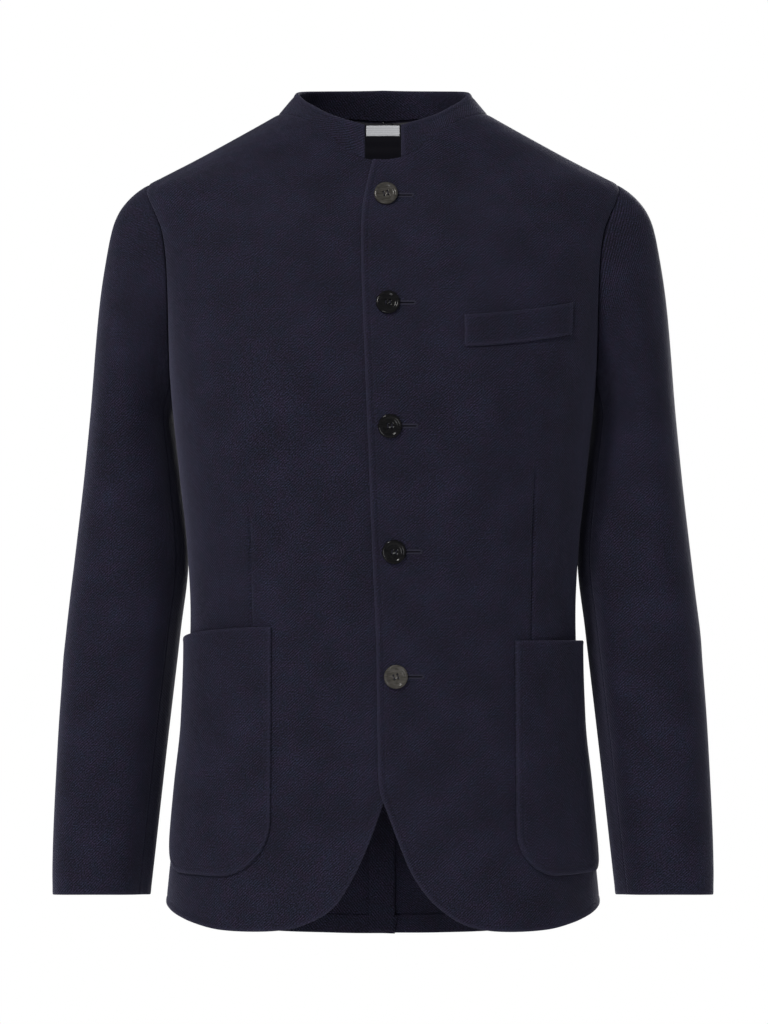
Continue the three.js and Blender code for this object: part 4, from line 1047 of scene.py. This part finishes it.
for number, (s, z, turn) in enumerate(BUTTONS, 1):
    bpy.ops.object.select_all(action="DESELECT")
    bpy.ops.mesh.primitive_torus_add(major_segments=WHIP_STEPS, minor_segments=10,
                                     major_radius=WHIP_HALF_GAP / 1000, minor_radius=WHIP_RADIUS / 1000)
    hole = bpy.context.object
    p = points_of(hole.data)
    angle = np.arctan2(p[:, 1], p[:, 0]) % (2 * math.pi)
    aside, height = np.hypot(p[:, 0], p[:, 1]) - WHIP_HALF_GAP, p[:, 2]
    step = np.round(angle / (2 * math.pi) * WHIP_STEPS).astype(int)
    twist = 1 + 0.1 * np.where(step % 2 == 0, 1, -1)
    long, bend = HOLE_TO - HOLE_FROM - 2 * WHIP_HALF_GAP, math.pi * WHIP_HALF_GAP
    at = (angle / (2 * math.pi) * (2 * long + 2 * bend) + bend / 2) % (2 * long + 2 * bend)
    round_end, straight = np.minimum(at, bend) / WHIP_HALF_GAP, np.clip(at - bend, 0, long)
    far_end = np.clip(at - bend - long, 0, bend) / WHIP_HALF_GAP
    back = np.clip(at - 2 * bend - long, 0, long)
    way = round_end - math.pi / 2 + far_end
    along_hole = HOLE_TO - WHIP_HALF_GAP - straight + back + np.cos(way) * (WHIP_HALF_GAP + aside * twist)
    up_hole = np.sin(way) * (WHIP_HALF_GAP + aside * twist)
    place_points(hole.data, cloth_point(1, s + along_hole, z + up_hole, 0.1 + 0.75 * height * twist))
    hole.data.materials.append(sewing_thread)
    bpy.ops.object.shade_smooth()
    bpy.ops.object.select_all(action="DESELECT")
    # a dark sheet of painted shade between the whipping, where the slit would be
    bpy.ops.mesh.primitive_grid_add(x_subdivisions=26, y_subdivisions=2, size=0.002)
    slit = bpy.context.object
    p = points_of(slit.data)
    middle, reach = (HOLE_FROM + HOLE_TO) / 2, (HOLE_TO - HOLE_FROM) / 2 - 1.2
    place_points(slit.data, cloth_point(1, s + middle + p[:, 0] * reach, z + p[:, 1] * WHIP_HALF_GAP * 0.8,
                                        0.16 + 0 * p[:, 0]))
    slit.data.materials.append(shaded)
    hole.select_set(True)
    bpy.context.view_layer.objects.active = hole
    bpy.ops.object.join()
    hole.name = f"buttonhole_{number}"
    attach(hole, "root")

# Buttons
# Polished horn, turned with a broad rounded rim round a shallow dish, with four holes. Each is sewn on
# with two loops of navy thread. The top and bottom ones carry painted reflection, a paler horn colour.
BUTTON_SEAT, EYE, EYE_OUT = 0.35, 0.9, 1.8
BLANK_RADIUS, THREAD_HEIGHT = 8.6, 0.95
RIM_RINGS = [(9.6, 0.3), (10.25, 0.9), (10.5, 1.6), (10.4, 2.25), (9.95, 2.75), (9.3, 3.0), (8.6, 3.02),
             (7.9, 2.85), (7.4, 2.45), (6.9, 2.15), (6.2, 2.02), (4.6, 2.0)]     # radius and height
PAINTED_REFLECTION_SHARE = {1: 0.75, 5: 1.0}     # how far painted reflection lightens the horn, by the button's number
HUNG_SEAT, HUNG_LEAN, THREAD_DRAW = 2.2, math.radians(14), 2.4

horn, tree, shader = new_material("polished horn", Roughness=0.12, Specular_IOR_Level=0.07, Coat_Weight=0.06,
                                  Coat_Roughness=0.05)
streak = node(tree, "ShaderNodeMapping", Vector=object_place(tree), Scale=(60, 60, 260),
              Rotation=(0.3, 0.5, 0.4)).outputs[0]
grain = spread(tree, noise(tree, streak, 3.0, Detail=4.0, Distortion=0.8), 2.0)
dark_horn = mixed(tree, grain, (0.0008, 0.0008, 0.001, 1), (0.0045, 0.0042, 0.0045, 1))
# painted reflection: the top and bottom buttons get a paler horn colour for the studio light they reflect, by
# the pale attribute
painted_reflection_horn = mixed(tree, grain, (0.014, 0.0125, 0.0095, 1), (0.058, 0.054, 0.049, 1))
pale = node(tree, "ShaderNodeAttribute", attribute_name="pale").outputs["Fac"]
two_toned(tree, shader, pale, dark_horn, painted_reflection_horn)
tree.links.new(maths(tree, "MULTIPLY_ADD", grain, 0.08, 0.1), shader.inputs["Roughness"])

bpy.ops.object.select_all(action="DESELECT")
bpy.ops.mesh.primitive_circle_add(vertices=72, radius=BLANK_RADIUS / 1000, fill_type="NGON")
blank = bpy.context.object
bpy.ops.object.mode_set(mode="EDIT")
bpy.ops.mesh.select_all(action="SELECT")
radius, height = BLANK_RADIUS, 0.0
for next_radius, next_height in RIM_RINGS:
    bpy.ops.mesh.extrude_region_move(TRANSFORM_OT_translate={"value": (0, 0, (next_height - height) / 1000)})
    bpy.ops.transform.resize(value=(next_radius / radius, next_radius / radius, 1), center_override=(0, 0, 0))
    radius, height = next_radius, next_height
bpy.ops.mesh.select_all(action="SELECT")
bpy.ops.mesh.normals_make_consistent(inside=False)
bpy.ops.object.mode_set(mode="OBJECT")
for x in (-EYE_OUT, EYE_OUT):
    for y in (-EYE_OUT, EYE_OUT):
        bpy.ops.object.select_all(action="DESELECT")
        bpy.ops.mesh.primitive_cylinder_add(vertices=20, radius=EYE / 1000, depth=0.012,
                                            location=(x / 1000, y / 1000, 0.001))
        drill = bpy.context.object
        bpy.context.view_layer.objects.active = blank
        bored = blank.modifiers.new("eye", "BOOLEAN")
        bored.operation, bored.object, bored.solver = "DIFFERENCE", drill, "EXACT"
        bpy.ops.object.modifier_apply(modifier="eye")
        bpy.data.objects.remove(drill)
blank.select_set(True)
bpy.context.view_layer.objects.active = blank
eased = blank.modifiers.new("eased edges", "BEVEL")
eased.width, eased.segments, eased.limit_method, eased.angle_limit = 0.00016, 2, "ANGLE", math.radians(50)
bpy.ops.object.modifier_apply(modifier="eased edges")
bpy.ops.object.shade_smooth_by_angle(angle=math.radians(40))

bpy.ops.object.select_all(action="DESELECT")
for x in (-EYE_OUT, EYE_OUT):
    bpy.ops.mesh.primitive_torus_add(major_segments=28, minor_segments=8, major_radius=EYE_OUT / 1000,
                                     minor_radius=0.0003, location=(x / 1000, 0, THREAD_HEIGHT / 1000),
                                     rotation=(0, math.pi / 2, 0))
    loop = bpy.context.object
    loop.scale = (0.86, 1, 1)
    bpy.ops.object.transform_apply(location=True, rotation=True, scale=True)
    bpy.ops.object.shade_smooth()
    if x < 0:
        first_loop = loop
first_loop.select_set(True)
bpy.ops.object.join()
loops = bpy.context.object

for number, (s, z, turn) in enumerate(BUTTONS, 1):
    hangs = number == 1     # the top one hangs from its thread, more upright than the sloping chest
    out = HUNG_SEAT if hangs else BUTTON_SEAT
    spot, axis = cloth_point(1, np.array(s), np.array(z), out), body_normal(np.array(s), np.array(z))
    level = unit(np.cross([0, 0, 1], axis))
    seat = Matrix(np.column_stack([level, np.cross(axis, level), axis]).tolist()).to_4x4()
    seat.translation = Vector(spot / 1000)
    seat = seat @ Matrix.Rotation(HUNG_LEAN * hangs, 4, "X") @ Matrix.Rotation(math.radians(turn), 4, "Z")
    button, thread = (bpy.data.objects.new(name, source.data.copy()) for name, source in
                      ((f"button_{number}_horn", blank), (f"button_{number}_thread", loops)))
    if hangs:
        p = points_of(thread.data)
        below = THREAD_HEIGHT - p[:, 2]
        p[:, 2] = np.where(below > 0, THREAD_HEIGHT - below * THREAD_DRAW, p[:, 2])
        place_points(thread.data, p)
    for piece, mat in ((button, horn), (thread, sewing_thread)):
        piece.data.transform(seat)
        piece.data.materials.clear()
        piece.data.materials.append(mat)
        bpy.context.scene.collection.objects.link(piece)
        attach(piece, "root")
    # the pale attribute carries each button's share of painted reflection
    tone = button.data.attributes.new("pale", "FLOAT", "POINT")
    tone.data.foreach_set("value", np.full(len(button.data.vertices), PAINTED_REFLECTION_SHARE.get(number, 0.0), np.float32))
    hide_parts(f"button_{number}")
bpy.data.objects.remove(blank)
bpy.data.objects.remove(loops)

# Studio
# Pale floor where a wearer would stand and a white surround. A soft light from the upper left, weaker ones
# from low in front and from the right, and one from behind. The camera looks straight at the front.
bpy.ops.object.select_all(action="DESELECT")
bpy.ops.mesh.primitive_circle_add(vertices=96, radius=2.6, fill_type="NGON", location=(0, 0.4, -1.5))
floor = bpy.context.object
floor.name = "floor"
bpy.ops.object.transform_apply(location=True, rotation=True, scale=True)
pale, tree, shader = new_material("pale floor", Roughness=0.9)
two_toned(tree, shader, noise(tree, object_place(tree), 4.0), (0.78, 0.78, 0.79, 1), (0.82, 0.82, 0.82, 1))
floor.data.materials.append(pale)

surround = bpy.data.worlds.new("white surround")
bpy.context.scene.world = surround
surround.use_nodes = True
sky = surround.node_tree
seen = sky.nodes["Background"]
seen.inputs["Color"].default_value = (1, 1, 1, 1)
lit = node(sky, "ShaderNodeBackground", Color=(0.93, 0.95, 1.0, 1), Strength=0.55)
pick = sky.nodes.new("ShaderNodeMixShader")
sky.links.new(node(sky, "ShaderNodeLightPath").outputs["Is Camera Ray"], pick.inputs[0])
sky.links.new(lit.outputs[0], pick.inputs[1])
sky.links.new(seen.outputs[0], pick.inputs[2])
sky.links.new(pick.outputs[0], sky.nodes["World Output"].inputs["Surface"])
bpy.context.scene.view_settings.view_transform = "Standard"


def soft_light(name, place, towards, size, power, color):
    lamp = bpy.data.lights.new(name, "AREA")
    lamp.shape, lamp.size, lamp.energy, lamp.color = "DISK", size, power, color
    holder = bpy.data.objects.new(name, lamp)
    holder.location = place
    holder.rotation_euler = (Vector(towards) - Vector(place)).to_track_quat("-Z", "Y").to_euler()
    bpy.context.scene.collection.objects.link(holder)


soft_light("key light", (-1.6, -3.0, 2.3), (0, 0, -0.35), 0.95, 150, (1, 0.98, 0.95))
soft_light("low front light", (-1.0, -3.1, -1.1), (0, 0, -0.6), 1.0, 36, (0.97, 0.98, 1))
soft_light("fill light", (2.2, -2.4, 0.2), (0, 0, -0.35), 1.8, 4, (0.95, 0.97, 1))
soft_light("back light", (1.3, 3.3, 0.5), (0, 0, -0.4), 2.0, 110, (1, 0.99, 0.97))

view = bpy.data.cameras.new("camera")
view.sensor_width, view.lens = 36, 156.25
camera = bpy.data.objects.new("camera", view)
camera.location, camera.rotation_euler = (0.0009, -4.0, -0.3573), (math.pi / 2, 0, 0)
bpy.context.scene.collection.objects.link(camera)
bpy.context.scene.camera = camera
